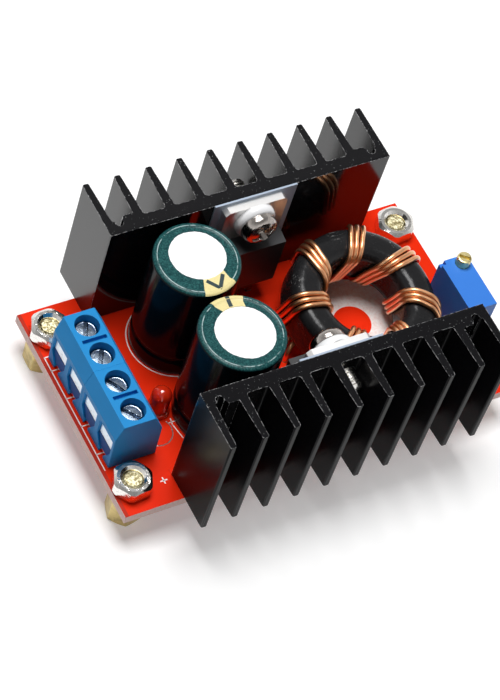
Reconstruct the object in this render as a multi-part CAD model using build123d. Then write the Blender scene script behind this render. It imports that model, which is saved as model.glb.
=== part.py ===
from build123d import *
import math
import os

os.makedirs("parts", exist_ok=True)

# Frame: X runs along the board, from the screw terminals to the trimmer, Y runs across it
# and Z is up. The origin is under the board's centre, where the standoffs meet the floor.

# Fits
seat_gap = 0.05
running_gap = 0.05

# Board; its length and width follow from the row of parts that stands on it
board_thickness = 1.6
board_side = 4.45
mounting_gap = 0.8
print_thickness = 0.03

# M3 fasteners: standoffs with a stud above and a tapped hole below, and their nuts
standoff_height = 5.0
standoff_flats = 5.0
standoff_tap_depth = 4.0
thread_radius = 1.5
thread_core_radius = 1.25
mounting_hole_radius = 1.6
nut_flats = 5.5
nut_corners = 6.0
nut_face_radius = 2.65
nut_chamfer = 0.2
nut_countersink = 0.35
nut_thickness = 2.4
nut_turns = (5.0, 5.0, 25.0, 5.0)
stud_recess = 0.35

# Heatsinks: two equal finned extrusions, mirrored about the board's centre line
heatsink_length = 46.2
heatsink_height = 20.8
heatsink_spread = 28.0
heatsink_base = 2.1
heatsink_depth = 9.5
fin_count = 10
fin_tip = 0.95
fin_root = 1.5
fin_root_radius = 0.45
fin_tip_radius = 0.25
channel_radius = 0.6
channel_inset = 2.2
channel_lip = 0.7
channel_lip_length = 1.7
channel_lip_gap = 0.4

# Power packages, screwed to the heatsinks
package_width = 10.2
tab_thickness = 1.3
tab_top = 20.25
tab_corner = 0.6
tab_foot = 5.0
package_foot = 4.4
package_height = 9.2
package_thickness = 4.4
package_draft = 0.35
lead_pitch = 2.54
lead_width = 0.8
lead_shoulder_width = 1.3
lead_shoulder_height = 3.0
lead_thickness = 0.5
lead_setback = 2.5
lead_grip = 1.0
pad_width = 13.6
pad_height = 18.5
pad_margin = 0.6
pad_slip = 0.4
pad_thickness = 0.3
package_screw_height = 17.2
bush_radius = 3.2
bush_flange = 1.3
bush_sleeve_radius = 1.85
screw_head_radius = 2.75
screw_head_height = 2.1
screw_recess_length = 3.2
screw_recess_width = 0.7
screw_recess_depth = 1.2
screw_head_round = 1.0
screw_length = 8.0

# Electrolytic capacitors, which stand side by side between the heatsinks, each a little off its place
capacitor_gap = 1.0
capacitor_clearance = 5.7
capacitor_height = 20.0
capacitor_offsets = {"input": (-0.4, 0.05), "output": (0.0, 0.58)}
sleeve_wall = 0.15
sleeve_edge_radius = 0.6
sleeve_opening_radius = 4.1
bead_height = 3.4
bead_width = 1.6
bead_depth = 0.5
bung_inset = 0.9
bung_depth = 2.4
capacitor_lead_radius = 0.4
capacitor_lead_pitch = 5.0

# Inductor: a toroid that leans on its winding, wound with three strands side by side
inductor_gap = 0.8
inductor_offset = (-1.25, -0.95)
inductor_tilt = 9.0
inductor_tilt_axis = 25.0
core_outer_radius = 11.4
core_inner_radius = 6.45
core_height = 7.7
core_corner = 1.6
strand_radius = 0.39
strand_count = 3
strand_pitch = 0.84
strand_sides = 6
winding_gap = 0.05
# Where each turn crosses the outer edge, how far it creeps round over the top, then down the bore
turn_angles = (-136.0, -79.0, -28.0, 24.0, 68.0, 117.0, 173.0)
top_creeps = (7.0, 7.0, 8.0, 8.0, 9.0, 11.0, 2.0)
bore_creeps = (9.0, 12.0, 20.0, 28.0, 9.0, 10.0, 4.0)
rise_creep = 4.0
corner_creep = 2.0
winding_start = -143.0
winding_end = 184.0
strand_end_pitch = 1.4

# Screw terminals: two blocks of two poles with their wire entries over the board's edge
terminal_inset = 1.0
terminal_depth = 7.8
terminal_height = 10.0
terminal_pitch = 5.0
terminal_poles = 2
terminal_blocks = 2
terminal_face_height = 7.1
terminal_face_lean = 0.2
terminal_top_inset = 0.9
terminal_top_width = 4.95
terminal_shoulder_height = 6.8
terminal_shoulder_inset = 0.25
terminal_rib = 1.0
terminal_front_wall = 0.5
terminal_rear_wall = 1.4
terminal_screw_inset = 3.5
terminal_hole_radius = 1.85
terminal_funnel_height = 2.9
terminal_funnel_foot = 0.5
terminal_funnel_slot = 1.3
terminal_bar_length = 3.8
terminal_bar_width = 0.6
terminal_bar_depth = 0.8
clamp_lift = 0.4
clamp_top = 6.0
clamp_top_wall = 2.2
clamp_wall = 0.6
clamp_pin = 0.9
guard_thickness = 0.4
guard_lip = 0.5
guard_length = 3.6
terminal_screw_radius = 1.25
terminal_head_radius = 1.7
terminal_head_height = 1.15
terminal_head_recess = 1.3
terminal_slot_width = 0.5
terminal_slot_depth = 0.7
terminal_slot_turns = (62.0, 58.0, -60.0, -53.0)
screw_tip_radius = 0.6
screw_collar_radius = 0.85
screw_collar_height = 0.25

# Trimmer
trimmer_inset = 3.0
trimmer_y = -4.55
trimmer_width = 4.6
trimmer_length = 9.5
trimmer_top = 10.5
trimmer_foot = 0.4
trimmer_foot_width = 1.0
trimmer_notch = 0.7
trimmer_screw_radius = 1.1
trimmer_screw_inset = 1.3
trimmer_screw_offset = 0.9
trimmer_screw_proud = 1.5
trimmer_screw_depth = 3.0
trimmer_slot_width = 0.4
trimmer_slot_depth = 0.6
trimmer_pin_radius = 0.25
trimmer_pin_pitch = 2.54

# Indicator lamp
led_y = -3.5
led_gap = 1.65
led_radius = 1.5
led_height = 5.3
led_flange_radius = 1.85
led_flange_height = 0.8
led_flat = 0.35
led_lead = 0.45
led_lead_pitch = 2.54

# Soldered side
pin_proud = 1.0
joint_radius = 0.95
joint_neck = 0.25
joint_height = 0.8
joint_sides = 8
chip_x = -2.5
chip_y = 0.0
chip_length = 4.9
chip_width = 3.9
chip_height = 1.5
chip_standoff = 0.15
chip_lead_pitch = 1.27
chip_lead_width = 0.42
chip_lead_span = 6.0
chip_lead_thickness = 0.22
shunt_length = 6.3
shunt_width = 3.2
shunt_height = 0.6
shunt_place = (-2.5, -7.0)
small_part_length = 2.0
small_part_width = 1.25
small_resistor_height = 0.5
small_capacitor_height = 0.9
small_resistor_places = ((-6.8, 4.5), (-6.8, 2.2), (-6.8, -0.1), (9.0, 6.2), (9.0, 3.9))
small_capacitor_places = ((-6.8, -2.6), (9.0, 1.6), (9.0, -0.7), (9.0, -3.0))

# Printed marks on the board's top
dot_radius = 2.96
disc_radius = 7.0
disc_y = 0.5
mark_line = 0.25
capacitor_ring_gap = 0.2
terminal_line_inset = 0.5
terminal_tick = 1.6
sign_x = -24.4
sign_y = -13.6
sign_size = 1.2

# Heights and places that follow
board_bottom = standoff_height
board_top = board_bottom + board_thickness
pin_end = board_bottom - pin_proud
heatsink_face = heatsink_spread / 2
capacitor_radius = (heatsink_face - capacitor_gap) / 2
capacitor_x = -capacitor_clearance - capacitor_radius
capacitor_places = {
    name: (capacitor_x + x, side * heatsink_face / 2 + y)
    for (name, (x, y)), side in zip(capacitor_offsets.items(), (1, -1))
}
led_x = capacitor_x - capacitor_radius - led_radius
heatsink_back = heatsink_face + heatsink_base
fin_end = heatsink_face + heatsink_depth
fin_pitch = (heatsink_length - fin_tip) / (fin_count - 1)
tab_back = heatsink_face - pad_thickness
tab_front = tab_back - tab_thickness
package_front = tab_back - package_thickness
package_lead_y = tab_back - lead_setback
lead_top = board_top + package_foot + lead_grip
bush_front = tab_front - bush_flange
package_screw_z = board_top + package_screw_height
bung_radius = capacitor_radius - sleeve_wall - bung_inset
terminal_front = led_x - led_flange_radius - led_gap - terminal_depth
terminal_screw_x = terminal_front + terminal_screw_inset
terminal_width = terminal_pitch * terminal_poles
terminal_row = terminal_width * terminal_blocks
cell_width = terminal_pitch - terminal_rib
cell_front = terminal_front + terminal_front_wall
cell_back = terminal_front + terminal_depth - terminal_rear_wall
clamp_bottom_z = board_top + clamp_lift
clamp_top_z = board_top + clamp_top
clamp_roof_z = clamp_top_z - clamp_top_wall
terminal_head_top = board_top + terminal_height - terminal_head_recess
strand_reach = strand_radius + winding_gap
strand_cut = 0.45 * core_corner
strand_over = core_height / 2 + strand_reach
strand_shoulder = core_height / 2 - strand_cut
lean = math.radians(inductor_tilt)
core_drop = (core_outer_radius - strand_cut) * math.sin(lean)
core_rise = (strand_over + strand_reach) * math.cos(lean)
inductor_z = board_top + print_thickness + core_drop + core_rise
board_length = 2 * (terminal_inset - terminal_front)
mounting_x = (board_length - nut_corners) / 2
mounting_y = (terminal_row + nut_corners) / 2 + mounting_gap
board_width = 2 * (mounting_y + board_side)
trimmer_x = board_length / 2 - trimmer_inset
disc_x = trimmer_x - trimmer_width / 2 - inductor_gap - core_outer_radius
inductor_place = Pos(disc_x + inductor_offset[0], disc_y + inductor_offset[1], inductor_z)
inductor_frame = inductor_place * Rot(0, 0, inductor_tilt_axis) * Rot(inductor_tilt, 0, -inductor_tilt_axis)
trimmer_screw_x = trimmer_x + trimmer_screw_offset
trimmer_screw_y = trimmer_y + trimmer_length / 2 - trimmer_screw_inset
mounting_places = [(x * mounting_x, y * mounting_y) for x in (-1, 1) for y in (-1, 1)]

on_base = (Align.CENTER, Align.CENTER, Align.MIN)


# Basic shapes
def block(x_range, y_range, z_range):
    """A box between two values on each axis."""
    ranges = (x_range, y_range, z_range)
    middle = [(low + high) / 2 for low, high in ranges]
    return Pos(*middle) * Box(*[high - low for low, high in ranges])


def rod(radius, bottom, top, place=(0, 0)):
    """An upright cylinder between two heights."""
    return Pos(place[0], place[1], bottom) * Cylinder(radius, top - bottom, align=on_base)


def cross_rod(radius, y_low, y_high, x, z):
    """A cylinder along Y between two values."""
    return Pos(x, (y_low + y_high) / 2, z) * Rot(90, 0, 0) * Cylinder(radius, y_high - y_low)


def prism(sides, inner_radius, bottom, top, place=(0, 0), turn=0.0):
    """An upright regular prism, given by the radius to its flats."""
    outline = RegularPolygon(inner_radius, sides, major_radius=False)
    return Pos(place[0], place[1], bottom) * Rot(0, 0, turn) * extrude(outline, top - bottom)


def revolved(points, place=(0, 0)):
    """A turned solid from (radius, height) corners."""
    outline = make_face(Polyline(*[(r, 0, z) for r, z in points], close=True))
    return Pos(place[0], place[1], 0) * revolve(outline, Axis.Z)


def joined(pieces):
    """Separate solids that share one node."""
    return Compound([solid for piece in pieces for solid in piece.solids()])


# Where leads pass through the board
def round_leads():
    """Round leads as (x, y, radius)."""
    leads = []
    for x, y in capacitor_places.values():
        for side in (-1, 1):
            leads.append((x, y + side * capacitor_lead_pitch / 2, capacitor_lead_radius))
    for step in (-1, 0, 1):
        leads.append((trimmer_x, trimmer_y + step * trimmer_pin_pitch, trimmer_pin_radius))
    return leads


def flat_leads():
    """Flat and square leads as (x, y, width, thickness)."""
    leads = []
    for side in (-1, 1):
        for step in (-1, 0, 1):
            leads.append((step * lead_pitch, side * package_lead_y, lead_width, lead_thickness))
        leads.append((led_x, led_y + side * led_lead_pitch / 2, led_lead, led_lead))
    for y in pole_places():
        leads.append((terminal_screw_x, y, clamp_pin, clamp_pin))
    return leads


def strand_ends(angle):
    """The three strand ends at one end of the winding, as (x, y)."""
    radius = core_outer_radius + strand_reach
    ends = [ring_point(radius, angle, -strand_over, place * strand_end_pitch) for place in strand_places()]
    return [(end.X, end.Y) for end in ends]


def pole_places():
    """Y of each terminal pole, from the far end of the row to the near end."""
    poles = terminal_poles * terminal_blocks
    return [((poles - 1) / 2 - pole) * terminal_pitch for pole in range(poles)]


# Board, standoffs and nuts
def circuit_board():
    """The board, drilled for its fasteners and leads."""
    board = block(
        (-board_length / 2, board_length / 2),
        (-board_width / 2, board_width / 2),
        (board_bottom, board_top),
    )
    drills = [rod(mounting_hole_radius, board_bottom, board_top, place) for place in mounting_places]
    for x, y, radius in round_leads():
        drills.append(rod(radius + seat_gap, board_bottom, board_top, (x, y)))
    for x, y, width, thickness in flat_leads():
        hole = Box(width + 2 * seat_gap, thickness + 2 * seat_gap, board_thickness, align=on_base)
        drills.append(Pos(x, y, board_bottom) * hole)
    for place in strand_ends(winding_start) + strand_ends(winding_end):
        drills.append(rod(strand_radius + seat_gap, board_bottom, board_top, place))
    return board - drills


def standoff(place):
    """A hexagonal spacer with a tapped foot and a stud that rises through the board."""
    stud_top = board_top + nut_thickness - stud_recess
    body = prism(6, standoff_flats / 2, 0, standoff_height, place)
    body += rod(thread_radius, standoff_height, stud_top, place)
    return body - rod(thread_core_radius, 0, standoff_tap_depth, place)


def nut(place, turn):
    """A hexagonal nut on a standoff's stud, turned down at its corners and countersunk."""
    low = board_top
    high = board_top + nut_thickness
    rim = nut_corners / 2
    hole = thread_radius + seat_gap
    turned = [
        (hole, low),
        (nut_face_radius, low),
        (rim, low + nut_chamfer),
        (rim, high - nut_chamfer),
        (nut_face_radius, high),
        (hole + nut_countersink, high),
        (hole, high - nut_countersink),
    ]
    return prism(6, nut_flats / 2, low, high, place, turn) & revolved(turned, place)


# Heatsinks
def heatsink_section():
    """Plan outline of the far extrusion: base, tapered fins and a screw channel at each end."""
    with BuildSketch() as section:
        with Locations((0, heatsink_face + heatsink_base / 2)):
            Rectangle(heatsink_length, heatsink_base)
        for fin in range(fin_count):
            x = (fin - (fin_count - 1) / 2) * fin_pitch
            Polygon(
                (x - fin_root / 2, heatsink_face + heatsink_base / 2),
                (x + fin_root / 2, heatsink_face + heatsink_base / 2),
                (x + fin_root / 2, heatsink_back),
                (x + fin_tip / 2, fin_end),
                (x - fin_tip / 2, fin_end),
                (x - fin_root / 2, heatsink_back),
                align=None,
            )
        with Locations((0, heatsink_face + heatsink_depth / 2)):
            Rectangle(heatsink_length, heatsink_depth, mode=Mode.INTERSECT)
        corners = section.vertices()
        inner_x = heatsink_length / 2 - fin_tip
        roots = corners.filter_by_position(Axis.Y, heatsink_back - 0.01, heatsink_back + 0.01)
        fillet(roots.filter_by_position(Axis.X, -inner_x, inner_x), fin_root_radius)
        tips = section.vertices().filter_by_position(Axis.Y, fin_end - 0.01, fin_end + 0.01)
        fillet(tips, fin_tip_radius)
        for side in (-1, 1):
            channel_x = side * (heatsink_length / 2 - channel_inset)
            mouth = channel_x - side * channel_radius
            lip_near = mouth - side * channel_lip_gap
            lip_far = lip_near - side * channel_lip_length
            Polygon(
                (mouth, heatsink_back - channel_lip),
                (mouth, heatsink_back),
                (lip_near, heatsink_back + channel_lip),
                (lip_far, heatsink_back + channel_lip),
                (lip_far, heatsink_back - channel_lip),
                align=None,
            )
            with Locations((channel_x, heatsink_back - channel_radius / 2)):
                Circle(channel_radius, mode=Mode.SUBTRACT)
    return section.sketch


def heatsink(side):
    """One extrusion on the board's top, tapped in its middle gap for the package's screw."""
    body = Pos(0, 0, board_top) * extrude(heatsink_section(), heatsink_height)
    tapped = cross_rod(thread_radius + seat_gap, heatsink_face, heatsink_back, 0, package_screw_z)
    return placed(body - tapped, side)


def placed(shape, side):
    """A shape of the far side, or turned half round for the near side."""
    return shape if side > 0 else Rot(0, 0, 180) * shape


# Power packages
def package_tab():
    """The copper tab and the middle lead, which are one stamping."""
    top = board_top + tab_top
    with BuildSketch(Plane.XZ) as outline:
        with Locations((0, board_top + (tab_foot + tab_top) / 2)):
            Rectangle(package_width, tab_top - tab_foot)
        corners = outline.vertices().filter_by_position(Axis.Y, top - 0.01, top + 0.01)
        chamfer(corners, tab_corner)
        with Locations((0, package_screw_z)):
            Circle(bush_sleeve_radius + seat_gap, mode=Mode.SUBTRACT)
    tab = Pos(0, tab_back, 0) * extrude(outline.sketch, tab_thickness)
    reach = lead_shoulder_width / 2
    bridge = block((-reach, reach), (package_lead_y, tab_front), (board_top + tab_foot, lead_top))
    return tab + bridge + package_lead(0)


def package_lead(x):
    """A lead, wide where it leaves the body and narrow through the board."""
    y_range = (package_lead_y - lead_thickness / 2, package_lead_y + lead_thickness / 2)
    shoulder_z = board_top + package_foot - lead_shoulder_height
    wide = (x - lead_shoulder_width / 2, x + lead_shoulder_width / 2)
    narrow = (x - lead_width / 2, x + lead_width / 2)
    return block(wide, y_range, (shoulder_z, lead_top)) + block(narrow, y_range, (pin_end, shoulder_z))


def outer_leads():
    """The two leads beside the middle one."""
    return [package_lead(-lead_pitch), package_lead(lead_pitch)]


def package_body():
    """The moulded body around the tab's foot and the leads' ends, with drafted front edges."""
    foot_z = board_top + package_foot
    with BuildSketch(Plane.XY.offset(foot_z)) as outline:
        half = package_width / 2
        Polygon(
            (-half, tab_back),
            (half, tab_back),
            (half, tab_front),
            (half - package_draft, package_front),
            (package_draft - half, package_front),
            (-half, tab_front),
            align=None,
        )
    return extrude(outline.sketch, package_height) - [package_tab(), *outer_leads()]


def insulating_pad():
    """The pad between the tab and the heatsink."""
    pad_top = board_top + tab_top + pad_margin
    pad = block(
        (pad_slip - pad_width / 2, pad_slip + pad_width / 2),
        (tab_back, heatsink_face),
        (pad_top - pad_height, pad_top),
    )
    return pad - cross_rod(bush_sleeve_radius + seat_gap, tab_back, heatsink_face, 0, package_screw_z)


def insulating_bush():
    """The flanged bush that keeps the screw off the tab."""
    z = package_screw_z
    bush = cross_rod(bush_radius, bush_front, tab_front, 0, z)
    bush += cross_rod(bush_sleeve_radius, tab_front, heatsink_face, 0, z)
    return bush - cross_rod(thread_radius + seat_gap, bush_front, heatsink_face, 0, z)


def package_screw():
    """The cross-recessed pan-head screw, whose tip shows between the middle fins."""
    z = package_screw_z
    head_front = bush_front - screw_head_height
    head = cross_rod(screw_head_radius, head_front, bush_front, 0, z)
    rim = head.edges().filter_by(GeomType.CIRCLE).sort_by(Axis.Y)[0]
    head = fillet(rim, screw_head_round)
    for turn in (0, 90):
        recess = Box(screw_recess_length, 2 * screw_recess_depth, screw_recess_width)
        head -= Pos(0, head_front, z) * Rot(0, 45 + turn, 0) * recess
    return head + cross_rod(thread_radius, bush_front, bush_front + screw_length, 0, z)


# Electrolytic capacitors
def can_form(skin, place):
    """The can's outer form, with a rounded top edge and a bead rolled in near the foot."""
    radius = capacitor_radius - skin
    top = board_top + capacitor_height - skin
    bead_z = board_top + bead_height
    with BuildSketch(Plane.XZ) as half:
        Polygon(
            (0, board_top),
            (radius, board_top),
            (radius, bead_z - bead_width / 2),
            (radius - bead_depth, bead_z),
            (radius, bead_z + bead_width / 2),
            (radius, top),
            (0, top),
            align=None,
        )
        corners = half.vertices().filter_by_position(Axis.X, radius - 0.01, radius + 0.01)
        fillet(corners.sort_by(Axis.Y)[-1], sleeve_edge_radius - skin)
    return Pos(place[0], place[1], 0) * revolve(half.sketch, Axis.Z)


def capacitor_sleeve(place):
    """The shrink sleeve, which follows the can and leaves the middle of its top bare."""
    top = board_top + capacitor_height
    opening = rod(sleeve_opening_radius, board_top, top, place)
    return can_form(0, place) - can_form(sleeve_wall, place) - opening


def capacitor_can(place):
    """The aluminium can, open below for its rubber bung."""
    return can_form(sleeve_wall, place) - rod(bung_radius, board_top, board_top + bung_depth, place)


def capacitor_bung(place):
    """The rubber bung that closes the can, pierced by the leads."""
    bung = rod(bung_radius, board_top, board_top + bung_depth, place)
    return bung - capacitor_leads(place, board_top)


def capacitor_leads(place, bottom):
    """The two leads, from inside the bung down to the given height."""
    x, y = place
    step = capacitor_lead_pitch / 2
    top = board_top + bung_depth
    return [rod(capacitor_lead_radius, bottom, top, (x, y + side * step)) for side in (-1, 1)]


# Inductor
def inductor_core():
    """The coated toroid, with rounded edges."""
    with BuildSketch(Plane.XZ) as section:
        with Locations(((core_inner_radius + core_outer_radius) / 2, 0)):
            Rectangle(core_outer_radius - core_inner_radius, core_height)
        fillet(section.vertices(), core_corner)
    return inductor_frame * revolve(section.sketch, Axis.Z)


def ring_point(radius, angle, height, offset):
    """A point of a strand round the core: its height above the core's middle, and its place beside it."""
    turn = math.radians(angle) + offset / radius
    return (inductor_frame * Pos(radius * math.cos(turn), radius * math.sin(turn), height)).position


def strand_places():
    """Each strand's place beside the middle one."""
    return [strand - (strand_count - 1) / 2 for strand in range(strand_count)]


def slanted_pitch(angle):
    """The strands' spacing round the core where a run over its flat side creeps by an angle."""
    outer = core_outer_radius - strand_cut
    inner = core_inner_radius + strand_cut
    creep = math.radians(abs(angle)) * (outer + inner) / 2
    return strand_pitch * math.hypot(creep, outer - inner) / (outer - inner)


def strand_path(place):
    """The route of one strand: up through the board, round the core at each turn and down again."""
    outside = core_outer_radius + strand_reach
    inside = core_inner_radius - strand_reach
    outer = core_outer_radius - strand_cut
    inner = core_inner_radius + strand_cut
    end = place * strand_end_pitch
    wall = place * strand_pitch
    first = ring_point(outside, winding_start, -strand_over, end)
    last = ring_point(outside, winding_end, -strand_over, end)
    path = [Vector(first.X, first.Y, pin_end), first]
    path.append(ring_point(outside, (winding_start + turn_angles[0]) / 2, 0, end))
    nexts = [angle - rise_creep for angle in turn_angles[1:]] + [winding_end]
    for angle, top_creep, bore_creep, following in zip(turn_angles, top_creeps, bore_creeps, nexts):
        at_top = angle + top_creep
        at_foot = at_top + bore_creep
        over_top = place * slanted_pitch(top_creep)
        under = place * slanted_pitch(following - at_foot)
        path += [
            ring_point(outside, angle, strand_shoulder, wall),
            ring_point(outer, angle, strand_over, over_top),
            ring_point(inner, at_top, strand_over, over_top),
            ring_point(inside, at_top + corner_creep, strand_shoulder, wall),
            ring_point(inside, at_foot, -strand_shoulder, wall),
            ring_point(inner, at_foot + corner_creep, -strand_over, under),
            ring_point(outer, following - corner_creep, -strand_over, under),
        ]
        if following != winding_end:
            path.append(ring_point(outside, following, -strand_shoulder, wall))
    return path + [last, Vector(last.X, last.Y, pin_end)]


def tube(path, radius, sides):
    """A many-sided wire along straight runs, mitred at each corner."""
    runs = [(b - a).normalized() for a, b in zip(path, path[1:])]
    across = runs[0].cross(Vector(0, 1, 0)).normalized()
    other = runs[0].cross(across)
    ring = []
    for side in range(sides):
        turn = 2 * math.pi * side / sides
        ring.append(path[0] + across * (radius * math.cos(turn)) + other * (radius * math.sin(turn)))
    rings = [ring]
    for corner, run, following in zip(path[1:], runs, runs[1:] + runs[-1:]):
        mitre = (run + following).normalized()
        ring = [point + run * ((corner - point).dot(mitre) / run.dot(mitre)) for point in rings[-1]]
        rings.append(ring)
    faces = [Face(Wire.make_polygon(rings[0])), Face(Wire.make_polygon(rings[-1]))]
    for low, high in zip(rings, rings[1:]):
        for side in range(sides):
            after = (side + 1) % sides
            for corners in ((low[side], low[after], high[after]), (low[side], high[after], high[side])):
                faces.append(Face(Wire.make_polygon(corners)))
    return Solid(Shell(faces))


def inductor_winding():
    """The strands, wound side by side."""
    return [tube(strand_path(place), strand_radius, strand_sides) for place in strand_places()]


# Screw terminals
def terminal_profile():
    """End outline of a block: leaning face, sloped brow, flat top and rear shoulder."""
    front = terminal_front
    back = terminal_front + terminal_depth
    top = board_top + terminal_height
    return Polygon(
        (front + terminal_face_lean, board_top),
        (front, board_top + terminal_face_height),
        (front + terminal_top_inset, top),
        (front + terminal_top_inset + terminal_top_width, top),
        (back - terminal_shoulder_inset, board_top + terminal_shoulder_height),
        (back, board_top),
        align=None,
    )


def terminal_housing(number):
    """One two-pole block with its cells, wire entries, screw wells and the bar between wells."""
    y_far = terminal_blocks * terminal_width / 2 - number * terminal_width
    profile = Plane.XZ.offset(-y_far) * terminal_profile()
    body = extrude(profile, terminal_width, dir=(0, -1, 0))
    poles = pole_places()[number * terminal_poles : (number + 1) * terminal_poles]
    for y in poles:
        body -= terminal_cell(y)
        body -= wire_window(y)
        body -= rod(terminal_hole_radius, clamp_top_z, board_top + terminal_height, (terminal_screw_x, y))
    for first, second in zip(poles, poles[1:]):
        body -= block(
            (terminal_screw_x - terminal_bar_length / 2, terminal_screw_x + terminal_bar_length / 2),
            ((first + second - terminal_bar_width) / 2, (first + second + terminal_bar_width) / 2),
            (board_top + terminal_height - terminal_bar_depth, board_top + terminal_height),
        )
    return body


def terminal_cell(y):
    """The room for one clamp, open below."""
    y_range = (y - cell_width / 2, y + cell_width / 2)
    return block((cell_front, cell_back), y_range, (board_top, clamp_top_z + seat_gap))


def wire_window(y):
    """The opening in the front wall: straight sides that funnel down to a narrow slot."""
    half = cell_width / 2
    slot = terminal_funnel_slot / 2
    top = clamp_top_z + seat_gap
    with BuildSketch(Plane.YZ.offset(terminal_front - terminal_face_lean)) as window:
        Polygon(
            (y - half, top),
            (y - half, board_top + terminal_funnel_height),
            (y - slot, board_top + terminal_funnel_foot),
            (y - slot, board_top),
            (y + slot, board_top),
            (y + slot, board_top + terminal_funnel_foot),
            (y + half, board_top + terminal_funnel_height),
            (y + half, top),
            align=None,
        )
    return extrude(window.sketch, terminal_front_wall + 2 * terminal_face_lean)


def terminal_clamp(y):
    """The clamp: a square tube tapped in its thick roof, with a solder pin below."""
    half = cell_width / 2 - seat_gap
    body = block(
        (cell_front, cell_back - seat_gap),
        (y - half, y + half),
        (clamp_bottom_z, clamp_top_z),
    )
    body -= block(
        (cell_front, cell_back - seat_gap),
        (y - half + clamp_wall, y + half - clamp_wall),
        (clamp_bottom_z + clamp_wall, clamp_roof_z),
    )
    body -= rod(terminal_screw_radius + running_gap, clamp_roof_z, clamp_top_z, (terminal_screw_x, y))
    reach = clamp_pin / 2
    return body + block(
        (terminal_screw_x - reach, terminal_screw_x + reach),
        (y - reach, y + reach),
        (pin_end, clamp_bottom_z),
    )


def wire_guard(y):
    """The pressure plate carried on the screw's tip, with a lip turned down at each end."""
    top = clamp_roof_z - seat_gap
    half = cell_width / 2 - seat_gap - clamp_wall - seat_gap
    x_range = (terminal_screw_x - guard_length / 2, terminal_screw_x + guard_length / 2)
    body = block(x_range, (y - half, y + half), (top - guard_thickness, top))
    for low, high in ((x_range[0], x_range[0] + guard_thickness), (x_range[1] - guard_thickness, x_range[1])):
        body += block((low, high), (y - half, y + half), (top - guard_thickness - guard_lip, top))
    return body - rod(screw_tip_radius + running_gap, top - guard_thickness, top, (terminal_screw_x, y))


def terminal_screw(y, turn):
    """The clamp screw: slotted head, threaded shank, and a tip riveted loosely under the guard."""
    place = (terminal_screw_x, y)
    head_bottom = terminal_head_top - terminal_head_height
    guard_bottom = clamp_roof_z - seat_gap - guard_thickness
    collar_top = guard_bottom - running_gap
    screw = rod(terminal_head_radius, head_bottom, terminal_head_top, place)
    slot = Box(2 * terminal_head_radius, terminal_slot_width, 2 * terminal_slot_depth)
    screw -= Pos(*place, terminal_head_top) * Rot(0, 0, turn) * slot
    screw += rod(terminal_screw_radius, clamp_roof_z, head_bottom, place)
    screw += rod(screw_tip_radius, collar_top, clamp_roof_z, place)
    return screw + rod(screw_collar_radius, collar_top - screw_collar_height, collar_top, place)


# Trimmer
def trimmer_housing():
    """The moulded case on two feet, with a corner notch and the screw's bore."""
    half_x = trimmer_width / 2
    half_y = trimmer_length / 2
    top = board_top + trimmer_top
    x_range = (trimmer_x - half_x, trimmer_x + half_x)
    body = block(x_range, (trimmer_y - half_y, trimmer_y + half_y), (board_top + trimmer_foot, top))
    for side in (-1, 1):
        middle = trimmer_y + side * (half_y - trimmer_foot_width / 2)
        y_range = (middle - trimmer_foot_width / 2, middle + trimmer_foot_width / 2)
        body += block(x_range, y_range, (board_top, board_top + trimmer_foot))
    body -= block(
        (trimmer_x - half_x, trimmer_x - half_x + trimmer_notch),
        (trimmer_y + half_y - trimmer_notch, trimmer_y + half_y),
        (top - trimmer_notch, top),
    )
    place = (trimmer_screw_x, trimmer_screw_y)
    bore_bottom = top - trimmer_screw_depth - seat_gap
    return body - rod(trimmer_screw_radius + running_gap, bore_bottom, top, place)


def trimmer_screw():
    """The slotted brass screw that turns in the case."""
    top = board_top + trimmer_top + trimmer_screw_proud
    bottom = board_top + trimmer_top - trimmer_screw_depth
    place = (trimmer_screw_x, trimmer_screw_y)
    slot = Box(trimmer_slot_width, 2 * trimmer_screw_radius, 2 * trimmer_slot_depth)
    return rod(trimmer_screw_radius, bottom, top, place) - Pos(*place, top) * Rot(0, 0, 30) * slot


def trimmer_pins():
    """The three pins below the case."""
    top = board_top + trimmer_foot
    places = [(trimmer_x, trimmer_y + step * trimmer_pin_pitch) for step in (-1, 0, 1)]
    return [rod(trimmer_pin_radius, pin_end, top, place) for place in places]


# Indicator lamp
def led_lens():
    """The lens: a flange with one flat, a round wall and a dome."""
    dome_base = board_top + led_height - led_radius
    lens = rod(led_flange_radius, board_top, board_top + led_flange_height, (led_x, led_y))
    flat_y = led_y + led_flange_radius - led_flat
    lens -= block(
        (led_x - led_flange_radius, led_x + led_flange_radius),
        (flat_y, led_y + led_flange_radius),
        (board_top, board_top + led_flange_height),
    )
    lens += rod(led_radius, board_top, dome_base, (led_x, led_y))
    return lens + Pos(led_x, led_y, dome_base) * Sphere(led_radius)


def led_leads():
    """The lamp's two square leads."""
    half = led_lead / 2
    leads = []
    for side in (-1, 1):
        y = led_y + side * led_lead_pitch / 2
        leads.append(block((led_x - half, led_x + half), (y - half, y + half), (pin_end, board_top)))
    return leads


# Soldered side
def frustum(x, y):
    """A solder fillet under the board, wide at the copper and narrow down the lead."""
    with BuildSketch(Plane.XY.offset(board_bottom)) as base:
        with Locations((x, y)):
            RegularPolygon(joint_radius, joint_sides)
    with BuildSketch(Plane.XY.offset(board_bottom - joint_height)) as neck:
        with Locations((x, y)):
            RegularPolygon(joint_radius - joint_neck, joint_sides)
    return loft([base.sketch, neck.sketch])


def strand_joint(angle):
    """The long fillet that holds the three strand ends together."""
    middle = strand_ends(angle)[1]
    length = (strand_count - 1) * strand_end_pitch
    faces = []
    for z, reach in ((board_bottom, joint_radius), (board_bottom - joint_height, joint_radius - joint_neck)):
        face = Rectangle(2 * reach, length + 2 * reach)
        faces.append(Pos(middle[0], middle[1], z) * Rot(0, 0, angle) * face)
    return loft(faces) - [rod(strand_radius, pin_end, board_bottom, place) for place in strand_ends(angle)]


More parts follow.
